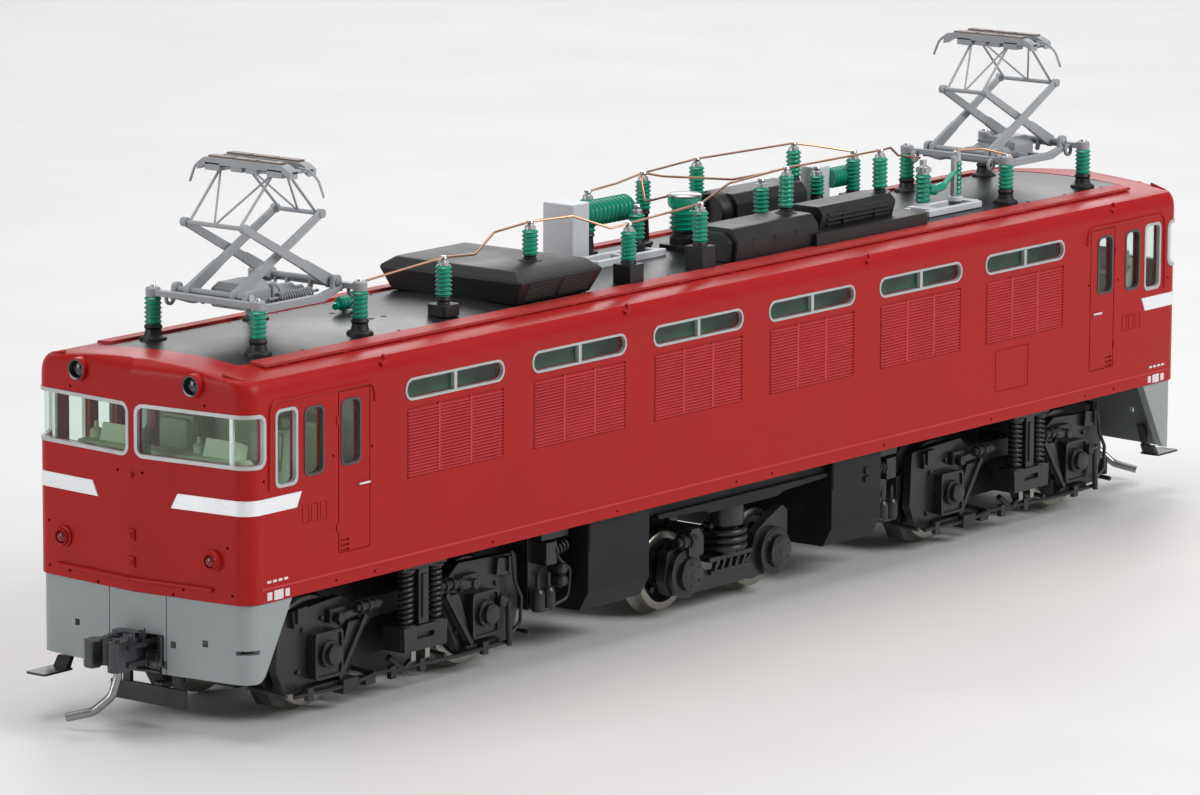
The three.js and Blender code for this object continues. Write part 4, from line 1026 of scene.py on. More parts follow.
def bus_lines():
    """Copper wires from post to post; the near and far lines run the length of the roof."""
    near = [(-70.4, -7.4, 51.6), post_top(0), (-46.9, -7.2, 52.3), (-42, -6.4, 54.5), post_top(1),
            (-27.2, -7.6, 55.0), (-21.5, -9.6, 52.9), post_top(2), post_top(3), (6, -8.4, 55.6),
            post_top(4), post_top(5), (46, -6.6, 55.9), (49, -5.8, 54.4), (55.2, -5.2, 53.3)]
    far = [post_top(8), (3, 8.2, 54.4), post_top(9), post_top(10), post_top(11), (47, 6.4, 54.8),
           post_top(13)]
    copper_line(near, "copper_line_near", ["bus_line_near"])
    copper_line(far, "copper_line_far", ["bus_line_far"])
    cross = [post_top(9), (9.3, 5.2, 54.9), (13, -3.8, 54.9), (16.5, -7.0, 55.7), (18, -7.4, 55.95)]
    copper_line(cross, "copper_line_cross")
    drop = [post_top(9), (7.4, 7.4, 54.0), (6.6, 6.2, 51.6), (7.4, 2.0, 52.9)]
    copper_line(drop, "copper_line_drop")
    rear = [(64.2, -5.3, 53.4), (69, -6.4, 53.2), (73.4, -8.2, 51.9)]
    copper_line(rear, "copper_line_rear")


def hood_front():
    """The hood behind the front pantograph: it flares out to a belt, then draws in to its crown."""
    rings = ((0, 10.3, 45.3), (0.8, 12.0, 48.5), (-0.5, 10.0, 49.8))  # growth along x, half width, height
    loops = []
    for grow, half, z in rings:
        loops.append(lifted(rectangle(-42.5 - grow, -26.8 + grow, -half, half), "z", z))
    (_, base_half, base), (_, belt_half, belt), _ = rings
    lean = (belt_half - base_half) / (belt - base)
    # slatted grilles lie in the near and far faces of the hood, which lean outwards
    grilles = []
    for x0, x1 in ((-41.2, -35.0), (-34.2, -28.0)):
        for k in range(7):
            z = 45.9 + k * 0.34
            y = -base_half - (z - base) * lean
            grilles += box(x0, x1, y - 0.14, y + 0.3, z, z + 0.17)
    make("hood_front", loft(loops), HOOD, bevel=0.3, replaces=["roof_hood_front"])
    make("hood_front_grilles", both_sides(grilles), HOOD, bevel=0.03)


def hood_rear():
    """The near hoods: a tall one with ribs, its end step, and a slatted one on a plinth."""
    tall = [(-11.0, 45.2), (-11.4, 48.3), (-10.2, 49.8), (-4.6, 49.8), (-3.8, 48.6), (-3.8, 45.3)]
    plinth = box(21.5, 47.7, -11.9, -3.7, 45.1, 47.1)
    slatted = [(-9.4, 46.8), (-10.1, 49.3), (-9.1, 50.2), (-4.6, 50.2), (-3.9, 46.8)]
    end_step = [(-10.3, 45.3), (-10.6, 48.0), (-9.4, 49.2), (-5.2, 49.2), (-4.4, 45.3)]
    shape = prism(rounded(tall, [0, 0.8, 0.8, 0.5, 0.5, 0], 5), "x", 4.2, 22.6) + plinth
    shape += prism(rounded(slatted, [0, 0.5, 0.4, 0.4, 0]), "x", 25.3, 42.6)
    shape += prism(rounded(end_step, [0, 0.6, 0.6, 0.4, 0]), "x", 3.3, 4.5)
    rib = [(-11.05, 45.6), (-11.5, 48.25), (-11.3, 48.4), (-10.8, 45.6)]
    for x in (7.8, 12.6, 17.4):
        shape += prism(rib, "x", x - 0.12, x + 0.12)
    slats = []
    for k in range(3):
        z = 47.5 + k * 0.66
        y = -9.4 - (z - 46.8) * 0.7 / 2.5
        slats += box(26.6, 41.2, y - 0.3, y + 0.2, z, z + 0.3)
    for x in (30.2, 37.6):
        slats += box(x - 0.1, x + 0.1, -10.15, -9.4, 47.4, 49.2)
    make("hood_rear", shape, HOOD, bevel=0.15, replaces=["roof_hood_rear"])
    make("hood_rear_slats", slats, HOOD, bevel=0.04)


def hood_far():
    """The far hood with its round end cover and two bands."""
    far = [(10.6, 45.3), (10.6, 49.4), (9.6, 50.8), (4.6, 50.8), (3.6, 49.6), (3.4, 45.3)]
    far_shape = prism(rounded(far, [0, 1.0, 0.8, 0.7, 0.9, 0], 6), "x", 24.2, 40.5)
    far_shape += lathe([(0, 0), (2.5, 0), (2.7, 0.4), (2.7, 2.6), (0, 2.6)], "x", (21.8, 6.9, 48.3), 36)
    for x in (29.5, 35):
        far_shape += box(x - 0.15, x + 0.15, 3.3, 3.7, 45.6, 49.4)
    make("hood_far", far_shape, HOOD, bevel=0.12, replaces=["roof_hood_far"])


def breaker():
    """The air breaker with its horizontal arm, the rails beside it, and the round bushing."""
    tower = slab(-10.4, -6.6, 5.4, 10.6, 0.35, "z", 45.3, 53.2)
    tower += slab(45.4, 48.6, 5.4, 8.6, 0.4, "z", 45.3, 52.0)
    make("breaker_tower", tower, TOWER, bevel=0.2, replaces=["breaker_box"])
    arm = [(0, 0)] + shed_profile(0, 11.0, 1.8, 12) + [(1.2, 11.4), (0, 11.5)]
    arms = lathe(arm, "x", (-6.6, 7.6, 51.1)) + insulator("x", (48.4, 5.4, 50.2), 0, 4.6, 1.45, 6)
    make("breaker_arm_insulator", arms, GREEN, bevel=0)
    rails = box(-13, 2, -1.0, -0.1, DECK, 46.5) + box(-13, 2, 2.5, 3.3, DECK, 46.5)
    for x in (-12.6, -5.6, 1.2):
        rails += box(x, x + 0.9, -0.6, 3.0, 45.5, 46.35)
    rails += lathe([(0, 0), (0.7, 0), (0.55, 0.7), (0, 0.9)], "z", (-3.0, 1.2, 46.0), 16)
    make("breaker_rails", rails, TOWER, bevel=0.12)
    centre = (8.2, 0.7, 0)
    foot = [(0, DECK), (2.0, DECK), (2.0, 47.2), (1.6, 47.5), (1.6, 48.2), (0, 48.2)]
    base = lathe(foot, "z", centre, 32) + box(5.6, 10.8, -1.6, 3.0, DECK, 46.3)
    make("bushing_base", base, HOOD)
    drum = [(0, 48.1)] + shed_profile(48.1, 50.9, 2.2, 4)
    drum += [(1.7, 51.0), (2.2, 51.4), (2.3, 51.9), (2.3, 52.6), (2.1, 52.8), (0, 52.8)]
    make("bushing_drum", lathe(drum, "z", centre, 40), GREEN, bevel=0, replaces=["main_bushing"])
    cap = [(0, 52.75), (2.3, 52.75), (2.35, 52.95), (2.1, 53.15), (0.4, 53.25), (0, 53.3)]
    make("bushing_cap", lathe(cap, "z", centre, 40), CAP, bevel=0)


def isolator():
    """The isolating switch near the rear pantograph, and the arrester by the front one."""
    rails = box(53, 66, -8.5, -7.6, DECK, 46.3) + box(53, 66, -4.9, -4.0, DECK, 46.3)
    for x in (53.6, 64.0):
        rails += box(x, x + 1.6, -8.2, -4.2, 45.5, 46.5)
    for x in (56, 64):
        rails += lathe([(0, 0), (1.15, 0), (1.1, 0.7), (0, 0.7)], "z", (x, -5.2, 46.2), 20)
    make("isolator_frame", rails, TOWER, bevel=0.12, replaces=["isolator_switch"])
    thick, thin = (56, -5.2, 0), (64.4, -5.2, 0)
    green = insulator("z", thick, 47, 50.9, 1.2, 6) + insulator("z", thin, 47.1, 51.8, 0.72, 7, 20)
    lever = bent([(56.9, -5.3, 48.8), (58.4, -5.4, 48.4), (60.6, -5.4, 48.7), (63.8, -5.3, 50.6)], [1, 1])
    green += tube(lever, [0.8] * 6 + [0.6] * 6 + [0.4] * 2, 14)
    make("isolator_insulators", green, GREEN, bevel=0)
    caps = lathe([(0, 50.9), (0.9, 50.9), (0.9, 52.0), (0.5, 52.2), (0.5, 53.0), (0, 53.2)], "z", thick, 20)
    caps += lathe([(0, 51.8), (0.6, 51.8), (0.6, 53.2), (0, 53.5)], "z", thin, 16)
    caps += box(63.2, 63.8, -5.6, -4.9, 46.6, 52.6) + box(55.3, 56.7, -6.2, -4.4, 51.2, 51.9)
    make("isolator_caps", caps, CAP, bevel=0.06)
    cable = [(-63.6, 2.2, 46.6), (-60.5, 3.6, 46.9), (-57.8, 5.6, 46.4)]
    arrester = insulator("x", (-62.6, 2.4, 46.9), 0, 3.2, 0.95, 5, 20)
    arrester += lathe([(0, 0), (1.25, 0.1), (1.25, 1.2), (0, 1.3)], "x", (-59.6, 2.4, 46.9), 24)
    arrester += tube(cable, 0.45)
    make("front_arrester", arrester, GREEN, bevel=0)


# ---- pantographs, drawn at the front; the rear one is the half-turned copy --
PANTO = {
    "x": -81.5, "pivot_x": 8.4, "pivot_z": 51.9, "elbow_x": 8.0, "elbow_z": 60.4, "head_x": 1.75,
    "head_z": 66.6, "outer": 4.85, "inner": 3.75, "foot_x": 9.8, "foot_y": 8.6,
}


def beam(start, end, y, width, depth, tip_width=None):
    """A flat bar in a plane of constant y, which may taper, with rounded ends."""
    a, b = np.array(start, float), np.array(end, float)
    along = (b - a) / np.linalg.norm(b - a)
    across = np.array((-along[1], along[0]))
    tip = tip_width or width
    corners = [a - along * width / 2 - across * width / 2, b + along * tip / 2 - across * tip / 2,
               b + along * tip / 2 + across * tip / 2, a - along * width / 2 + across * width / 2]
    outline = rounded(corners, [width * 0.45, tip * 0.45, tip * 0.45, width * 0.45])
    return prism(outline, "y", y - depth / 2, y + depth / 2)


def panto_base():
    """Insulators, feet and the frame that carries the crossing arms, with its drive and springs."""
    p = PANTO
    x = p["x"]
    foot = [(0, 45.1), (1.75, 45.1), (1.7, 45.7), (1.15, 46.0), (1.0, 46.7), (1.2, 47.0), (0.95, 47.4),
            (0, 47.4)]
    socket = [(0, 50.85), (0.9, 50.85), (0.95, 51.1), (0.95, 51.9), (0.7, 52.1), (0, 52.1)]
    bolt = [(0, 52.0), (0.42, 52.05), (0.3, 52.35), (0, 52.4)]
    eye = [(0.5, -0.2), (0.9, -0.2), (0.9, 0.2), (0.5, 0.2)]
    green, caps, feet, grey = [], [], [], []
    for sx, sy in QUARTERS:
        place = (x + sx * p["foot_x"], sy * p["foot_y"], 0)
        green += insulator("z", place, 47.4, 50.9, 1.15, 6)
        feet += lathe(foot, "z", place, 24)
        grey += lathe(socket, "z", place, 24)
        caps += lathe(bolt, "z", place, 12)
    for sx in (-1, 1):
        bx = x + sx * p["foot_x"]
        grey += box(bx - 0.55, bx + 0.55, -9.0, 9.0, 51.0, 51.75)
        for y in (-6.6, 6.6):
            grey += lathe(eye, "y", (bx + 0.9, y, 50.7), 20, ring=True)
    channel = [(x - 9.8, 51.6), (x - 9.8, 51.0), (x - 5.6, 49.7), (x + 5.6, 49.7), (x + 9.8, 51.0),
               (x + 9.8, 51.6), (x + 5.0, 50.7), (x - 5.0, 50.7)]
    grey += both_sides(prism(rounded(channel, [0.2, 0.2, 0.6, 0.6] * 2), "y", -6.3, -5.5))
    for sx in (-1, 1):
        px = x + sx * p["pivot_x"]
        cheek = [(px - 1.0, 50.6), (px + 1.0, 50.6), (px + 0.8, 52.8), (px - 0.8, 52.8)]
        grey += both_sides(prism(rounded(cheek, [0, 0, 0.7, 0.7], 5), "y", -6.15, -5.55))
        grey += box(x + sx * 4.6 - 0.4, x + sx * 4.6 + 0.4, -5.9, 5.9, 49.8, 50.5)
    for sx, sy in QUARTERS:
        caps += rod("y", (x + sx * p["pivot_x"], sy * 6.25, p["pivot_z"]), 0.5, -0.2, 0.2, 12)
    case = [(-2.9, 49.6), (2.9, 49.6), (2.9, 51.9), (1.7, 52.9), (-1.7, 52.9), (-2.9, 51.9)]
    grey += prism(rounded(case, [0.3] * 2 + [0.4] * 4), "x", x - 5.4, x - 0.6)
    grey += box(x - 5.7, x - 5.4, -2.2, 2.2, 50.0, 52.2) + box(x - 0.6, x - 0.3, -3.2, 3.2, 49.8, 52.4)
    cylinder = [(0, 0), (1.0, 0), (1.0, 1.6), (1.25, 1.7), (1.25, 2.2), (1.0, 2.3), (1.0, 5.0), (0.7, 5.3),
                (0.45, 5.4), (0.45, 7.2), (0, 7.2)]
    grey += lathe(cylinder, "x", (x - 0.3, -1.5, 50.9), 24) + lathe(cylinder, "x", (x - 0.3, 1.7, 50.7), 24)
    for y in (-3.6, 3.6):
        grey += coil_along(x - 0.2, x + 6.2, y, 50.7, 0.55, 0.16, 13)
        grey += tube([(x - 2.0, y, 50.7), (x + 7.6, y, 50.7)], 0.2, 8)
    make_ends("panto_insulators", green, GREEN, bevel=0)
    make_ends("panto_feet", feet, HOOD, bevel=0.1)
    make_ends("panto_frame", grey, FITTING, replaces=["panto_base"])
    make_ends("panto_bolts", caps, CAP, bevel=0.03)


def cross_bar(x, z, half, radius, sides):
    return tube([(x, -half, z), (x, half, z)], radius, sides)


def panto_arms():
    """Lower arms a and b cross each other, and each carries the upper rods that lead to the head."""
    p = PANTO
    x = p["x"]
    for letter, side, half in (("a", 1, p["outer"]), ("b", -1, p["inner"])):
        foot = (x + side * p["pivot_x"], p["pivot_z"])
        elbow = (x - side * p["elbow_x"], p["elbow_z"])
        arm = both_sides(beam(foot, elbow, -half, 1.3, 0.5, 0.95))
        arm += both_sides(beam(foot, (foot[0] - side * 5.0, foot[1] + 2.65), -half, 1.7, 0.62, 1.3))
        arm += cross_bar(*foot, 6.05, 0.42, 14)
        arm += both_sides(rod("y", (foot[0], -half, foot[1]), 0.85, -0.35, 0.35))
        arm += both_sides(rod("y", (elbow[0], -half, elbow[1]), 0.6, -0.4, 0.4, 18))
        crank = beam(foot, (foot[0] - side * 0.4, foot[1] - 1.2), 1.9 * side, 0.7, 0.4)
        arm += crank + moved(crank, y=-3.8 * side)
        lower, upper = f"panto_lower_{letter}", f"panto_upper_{letter}"
        make_ends(f"panto_arm_{letter}", arm, FITTING, lower, 0.06, [lower])
        inner = half - 0.55
        head = (x - side * p["head_x"], p["head_z"])
        rods = cross_bar(*elbow, inner, 0.3, 12)
        long_rod = [(elbow[0], -inner + 0.2, elbow[1]), (head[0], -inner, head[1])]
        rods += both_sides(tube(long_rod, 0.18))
        for y in (inner, -inner):
            rods += tube([(elbow[0], 0, elbow[1]), (head[0], y, head[1])], 0.14, 8)
        rods += cross_bar(*head, inner + 0.25, 0.2, 10)
        make_ends(f"panto_rods_{letter}", rods, FITTING, upper, 0, [upper])


def panto_head():
    """The head: two curved carriers with contact strips, cross pieces, spring boxes and horns."""
    p = PANTO
    x, hx, hz = p["x"], p["head_x"], p["head_z"]
    grey, strips = [], []

    def strip_line(y):
        """Height of the contact surface across the head: flat, then dropping at the ends."""
        return 68.0 - 0.8 * max(0.0, (abs(y) - 5.8) / 1.8) ** 1.6

    ys = np.linspace(-7.6, 7.6, 33)
    for sx in (-1, 1):
        cx = x + sx * 1.75
        top = [(y, strip_line(y) - 0.14) for y in ys]
        bottom = [(y, strip_line(y) - 1.05) for y in ys[::-1]]
        grey += prism(top + bottom, "x", cx - 0.8, cx + 0.8)
        for a, b in ((-5.9, -2.2), (-1.9, 1.9), (2.2, 5.9)):
            strips += box(cx - 0.62, cx + 0.62, a, b, strip_line(0) - 0.2, strip_line(0) + 0.08)
    for y in (-7.2, -3.2, 0, 3.2, 7.2):
        z = strip_line(y)
        grey += box(x - hx - 0.2, x + hx + 0.2, y - 0.4, y + 0.4, z - 0.7, z - 0.25)
    for y in (-1.2, 1.2):
        grey += box(x - hx - 0.7, x + hx + 0.7, y - 0.9, y + 0.9, 66.3, 67.2)
    for side, half in ((1, p["outer"]), (-1, p["inner"])):
        cx = x - side * hx
        for y in (-half - 0.25, half + 0.25):
            grey += slab(cx - 0.55, cx + 0.55, hz - 0.5, 67.4, 0.3, "y", y - 0.25, y + 0.25)
            grey += box(cx - 0.8, cx + 0.8, y - 1.2, y + 1.2, 66.2, 67.2)
            grey += coil(cx + side, y, 66.2, 67.2, 0.35, 0.1, 4)
    horns = []
    for sy in (-1, 1):
        path = [(x, sy * y, z) for y, z in ((6.9, 67.3), (8.6, 67.2), (10.1, 66.1), (11.0, 64.0))]
        horns += tube(bent(path, [1.5, 2.0], 6), 0.17)
        horns += tube([(x - 1.7, sy * 7.2, 67.0), (x + 1.7, sy * 7.2, 67.0)], 0.24)
    make_ends("panto_bow", grey + horns, FITTING, "panto_head", 0.06, ["panto_head"])
    make_ends("panto_contact_strips", strips, STRIP, "panto_head", 0.05)


# ---- running gear -----------------------------------------------------------
BOGIE_X = 68.0
AXLE_X = 15.625
WHEEL_R = 7.0
CENTRE_AXLE_X = 10.0
CENTRE_WHEEL_R = 5.375
FRAME_FACE = -12.4  # y of the near side frames' face
RODS_Y = -13.6  # y of the brake rods, outside the frames


def disc(x, y, z, radius, thick, segments=28, dome=0.1):
    """A round cover on the near side, standing out from y."""
    profile = [(0, 0), (radius, 0), (radius, -thick), (radius * 0.8, -thick - dome), (0, -thick - dome)]
    return lathe(profile, "y", (x, y, z), segments)


def bolt_ring(x, y, z, radius, count, size):
    out = []
    for k in range(count):
        a = 2 * math.pi * (k + 0.5) / count
        out += disc(x + radius * math.cos(a), y, z + radius * math.sin(a), size, 0.16, 6, 0)
    return out


def drive_side():
    """The near side frame of a driven bogie, drawn about its middle, facing -Y."""
    y = FRAME_FACE
    plate = [(-24.2, 6.0), (-22.6, 2.6), (-11.8, 2.4), (-10.2, 6.4), (-9.2, 8.8), (-5.4, 9.8),
             (5.4, 9.8), (8.4, 8.8), (11.4, 2.6), (22.4, 2.4), (24.0, 6.0),
             (23.6, 13.6), (11.8, 14.0), (9.6, 12.4), (-9.6, 12.4), (-11.8, 13.6), (-23.8, 12.8)]
    shape = prism(rounded(plate, 0.5, 3), "y", y + 0.3, y + 1.6)
    for end in (-1, 1):
        x = end * AXLE_X
        # axlebox: a raised square with a round cap
        shape += slab(x - 2.6, x + 2.6, 4.0, 9.8, 0.5, "y", y - 0.9, y + 0.4)
        shape += hoop(rounded(rectangle(x - 2.7, x + 2.7, 3.9, 9.9), 0.6),
                      rounded(rectangle(x - 2.3, x + 2.3, 4.3, 9.5), 0.4), "y", y - 1.2, y - 0.8)
        shape += disc(x, y - 0.8, WHEEL_R, 1.75, 0.7)
        shape += disc(x, y - 1.4, WHEEL_R, 1.35, 0.9, 24)
        shape += box(x - 3.4, x + 3.4, y - 0.7, y + 0.5, 2.2, 3.2)
        # lugs, rivets and the small plate over the axlebox
        shape += box(x - end * 2.4 - 1.5, x - end * 2.4 + 1.5, y - 0.5, y + 0.4, 10.6, 12.4)
        for dx, z in ((-3.6, 10.4), (3.6, 10.2), (-4.6, 5.2), (4.4, 4.4), (0, 11.4)):
            shape += disc(x + dx, y + 0.3, z, 0.32, 0.3, 10, 0.08)
        shape += tilted(box(x + end * 4.6 - 1.4, x + end * 4.6 + 1.4, y - 0.4, y + 0.4, 11.2, 13.4),
                        -8 * end, "y", (x + end * 4.6, y, 12))
        shape += box(x + end * 5.4 - 0.2, x + end * 5.4 + 0.2, y - 0.8, y, 11.6, 13.6)
        # top link between the beam and the axlebox, with its pins
        link_from, link_to = (end * 6.8, 11.9), (x - end * 2.2, 11.2)
        shape += beam(link_from, link_to, y - 0.8, 0.9, 0.7)
        for px, pz in (link_from, link_to):
            shape += disc(px, y - 0.7, pz, 0.7, 0.7, 18, 0.06)
        # triangular stay from the beam down to the foot of the axlebox
        stay = [(end * 7.6, 10.2), (end * 11.0, 10.2), (x - end * 1.8, 3.6), (x - end * 3.0, 3.2)]
        shape += prism(stay, "y", y - 0.4, y + 0.5)
        shape += beam((end * 8.2, 10.4), (x - end * 2.6, 3.6), y - 0.6, 0.7, 0.6)
    return shape


SPRING = {"x": 2.85, "y": -15.3, "low": 8.6, "high": 15.9}


def springs():
    """The twin bolster springs, which stand further out than the frames."""
    shape = []
    for x in (-SPRING["x"], SPRING["x"]):
        shape += coil(x, SPRING["y"], SPRING["low"], SPRING["high"], 0.82, 0.24, 10, 10)
        shape += rod("z", (x, SPRING["y"], 0), 0.45, 8.2, 16.2, 16)
    return shape


def spring_seats():
    """Seat, top plate and middle post of the bolster springs; the seat has a slot in its face."""
    y = SPRING["y"]
    low, high = SPRING["low"], SPRING["high"]
    face = [(-4.2, 5.4), (4.2, 5.4), (4.4, low), (-4.4, low)]
    slot = rectangle(-1.7, 1.7, 6.9, 7.6)
    shape = hoop(face, slot, "y", y - 1.05, y - 0.4) + prism(face, "y", y - 0.45, y + 2.6)
    shape += box(-4.3, 4.3, y - 1.0, y + 2.6, high, 16.5) + box(-1.0, 1.0, y - 0.7, y + 0.9, low, high)
    shape += box(-0.45, 0.45, y - 0.95, y - 0.6, low + 0.8, high - 0.8)
    for x in (-SPRING["x"], SPRING["x"]):
        shape += rod("z", (x, y, low), 1.25, -0.2, 0.25, 24) + rod("z", (x, y, high), 1.25, -0.3, 0.1, 24)
    return shape


def bogie_rods():
    """Brake gear, dampers and the sand pipe, on the near side of the leading bogie."""
    y = RODS_Y
    pull = [(-22.5, 2.6), (-12.0, 2.4), (-6.0, 3.0), (-2.0, 2.8), (10.0, 2.4), (21.0, 2.6)]
    shape = tube(bent([(x, y, z) for x, z in pull], [0.8] * 4, 3), 0.3, 8)
    for x in (-19.6, -3.4, 2.4, 15.2):
        shape += box(x - 0.55, x + 0.55, y - 0.3, y + 0.4, 1.7, 3.4)
    shape += box(-13.4, -10.4, y - 0.4, y + 1.4, 1.5, 3.3) + box(-8.6, -6.6, y, y + 1.6, 1.7, 2.8)
    shape += tube([(-4.2, y, 4.6), (-1.2, y, 2.6), (0.8, y, 3.6)], 0.45, 8)
    damper = [(0, 0), (0.5, 0), (0.5, 0.6), (0.8, 0.7), (0.8, 1.3), (0.58, 1.4), (0.58, 2.0), (0.85, 2.1),
              (0.85, 2.7), (0.58, 2.8), (0.58, 3.3), (0.75, 3.4), (0.75, 4.2), (0.4, 4.3), (0.4, 5.0),
              (0, 5.0)]
    for x in (6.0, -10.8):
        shape += lathe(damper, "x", (x, y - 0.1, 12.0), 20)
    pipe = [(21.6, -12.9, 14.2), (22.0, -13.2, 10.0), (22.8, -13.6, 8.0), (22.6, -13.6, 4.6),
            (20.4, -13.4, 3.2)]
    shape += tube(bent(pipe, [1.2] * 3), 0.26, 8)
    shape += tube([(19.4, -14.2, 8.0), (19.5, -14.3, 2.2)], 0.42, 8)
    shape += tube([(17.8, -14.2, 8.0), (21.4, -13.0, 8.2)], 0.34, 8)
    shape += disc(18.4, y, 8.2, 0.8, 0.7, 16)
    for x in (-AXLE_X, AXLE_X):
        for side in (-1, 1):
            # brake shoe against the tread, and the hanger that carries it
            shape += brake_shoe(x, side)
            hang = x + side * (WHEEL_R + 1.6)
            shape += box(hang - 0.6, hang + 0.6, -10.4, -7.4, 6.4, 10.2)
            shape += tube([(hang, -13.8, 3.0), (hang, -7.6, 3.4)], 0.35, 8)
    return shape


def brake_shoe(x, side):
    """A curved block that clears the wheel's flange, beside a wheel whose axle is at x."""
    angles = [math.radians(a) for a in (-42, -26, -10, 6, 22)]
    inner, outer = WHEEL_R + 0.95, WHEEL_R + 2.1
    arc = [(x + side * inner * math.cos(a), WHEEL_R + inner * math.sin(a)) for a in angles]
    back = [(x + side * outer * math.cos(a), WHEEL_R + outer * math.sin(a)) for a in angles[::-1]]
    return prism(arc + back, "y", -10.1, -7.3)


def make_bogies(name, shape, look, bevel, replaces=()):
    """A piece drawn about the middle of a driven bogie, on both of them."""
    make_ends(name, moved(shape, x=-BOGIE_X), look, "bogie", bevel, replaces)


def drive_bogies():
    cross = box(5.2, 7.2, -11.4, 11.4, 8.8, 11.4)
    cross = cross + flipped(cross, "x")
    rods = bogie_rods()
    side = both_sides(drive_side())
    seats = both_sides(spring_seats())
    tabs = box(-1.9, -1.0, -15.5, -15.3, 3.9, 5.6) + box(0.9, 1.8, -15.5, -15.3, 3.9, 5.6)
    # the far side of a bogie is the half-turned near side, so that both look the same from outside
    rods = rods + half_turn(rods)
    make_bogies("bogie_side_frames", side + cross, UNDER, 0.1, ["bogie_frame"])
    make_bogies("bogie_spring_seats", seats, UNDER, 0.1)
    make_bogies("bogie_springs", both_sides(springs()), UNDER, 0)
    make_bogies("bogie_tabs", both_sides(tabs), NICKEL, 0.03)
    make_bogies("bogie_rods", rods, UNDER, 0.06)


def centre_bogie():
    """The carrying bogie: curved side frames with bolted axle covers, and a spring tower each side."""
    y = FRAME_FACE
    r = CENTRE_WHEEL_R
    cradle = [(-13.2, 8.6), (-13.8, 4.6), (-12.6, 2.6), (-8.0, 2.2), (8.0, 2.2), (12.6, 2.6), (13.8, 4.6),
              (13.8, 10.4), (12.6, 11.2), (9.0, 9.6), (6.6, 8.2), (5.4, 5.4), (3.6, 4.4), (-3.6, 4.4),
              (-5.4, 5.4), (-6.6, 8.2), (-9.0, 9.6)]
    radii = [0.8] + [1] * 6 + [0.3, 0.3, 1, 1.2, 1.2, 0.8, 0.8, 1.2, 1.2, 1.2]
    shape = prism(rounded(cradle, radii), "y", y - 0.6, y + 0.9)
    for x in (-CENTRE_AXLE_X, CENTRE_AXLE_X):
        shape += disc(x, y - 0.4, r, 3.3, 1.1, 36, 0.2)
        shape += disc(x, y - 1.6, r, 2.3, 0.9, 32, 0.15)
        shape += bolt_ring(x, y - 2.55, r, 1.6, 5, 0.26)
        shape += disc(x, y - 2.5, r, 0.6, 0.2, 16, 0.05)
    for k in range(5):  # slats of the spring tray
        x = -3.4 + k * 1.55
        shape += tilted(box(x, x + 0.5, y - 1.3, y - 0.7, 4.6, 6.2), -28, "y", (x, y, 5.2))
    shape += box(-4.8, 4.8, y - 1.4, y + 1.6, 6.0, 6.6) + box(-4.2, 4.2, y - 1.2, y - 0.4, 4.2, 4.7)
    damper = [(0, 0), (0.7, 0), (0.7, 0.8), (1.0, 0.9), (1.0, 1.6), (0.7, 1.7), (0.7, 2.4), (1.1, 2.5),
              (1.1, 3.6), (0, 3.6)]
    shape += lathe(damper, "x", (-12.4, -13.8, 9.8), 20)
    valve = [(-10.2, 7.6), (-7.0, 7.6), (-7.0, 10.2), (-8.0, 11.4), (-9.6, 11.4), (-10.2, 10.4)]
    shape += prism(rounded(valve, 0.4, 3), "y", -14.4, -12.2)
    spring_y = y - 0.2
    tower = lathe([(0, 10.6), (2.6, 10.6), (2.6, 14.0), (2.2, 14.3), (0, 14.3)], "z", (0, spring_y, 0))
    tower += rod("z", (0, spring_y, 0), 1.6, 6.5, 10.8)
    cross = box(-2.6, 2.6, -11.8, 11.8, 5.4, 9.2)
    boss = rod("z", (0, 0, 0), 2.4, 9, 12.4, 28)
    make("centre_side_frames", both_sides(shape + tower) + cross + boss, UNDER, "centre_bogie", 0.1,
         ["centre_bogie_frame"])
    spring = coil(0, spring_y, 6.5, 11.0, 2.75, 0.42, 3.5, 12)
    make("centre_springs", both_sides(spring), UNDER, "centre_bogie", 0)


def wheels():
    """Wheelsets: flanged tyres, and centres with six holes on a plain axle; profiles are in y."""
    places = []
    for bogie in (-BOGIE_X, 0, BOGIE_X):
        reach = AXLE_X if bogie else CENTRE_AXLE_X
        radius = WHEEL_R if bogie else CENTRE_WHEEL_R
        places += [(bogie - reach, radius), (bogie + reach, radius)]
    for number, (x, r) in enumerate(places, 1):
        body_name = f"axle_{number}"
        tyre = [(r - 1.15, 7.25), (r + 0.55, 7.25), (r + RAIL - 0.05, 7.45), (r + RAIL - 0.02, 7.7),
                (r + 0.5, 7.95), (r + 0.15, 8.2), (r, 8.6), (r - 0.05, 9.85), (r - 0.2, 9.95),
                (r - 1.0, 9.95), (r - 1.15, 9.7)]
        centre = [(0.9, 7.3), (r - 1.1, 7.3), (r - 1.1, 9.5), (r - 1.6, 9.2), (2.6, 8.7), (2.2, 9.6),
                  (0.9, 9.6)]
        rims = lathe(tyre, "y", (x, 0, r), 64, ring=True)
        discs = lathe(centre, "y", (x, 0, r), 48, ring=True)
        for k in range(6):
            a = math.pi * k / 3
            hole = (x + math.cos(a) * r * 0.56, 9.0, r + math.sin(a) * r * 0.56)
            discs += lathe([(0, -0.1), (0.55, -0.1), (0.45, 0.2), (0, 0.2)], "y", hole, 14)
        axle = rod("y", (x, 0, r), 1.0, -11.9, 11.9, 24)
        make(f"wheel_tyres_{number}", both_sides(rims), NICKEL, body_name, 0, [f"wheelset_{number}"])
        make(f"wheel_centres_{number}", both_sides(discs) + axle, UNDER, body_name, 0)


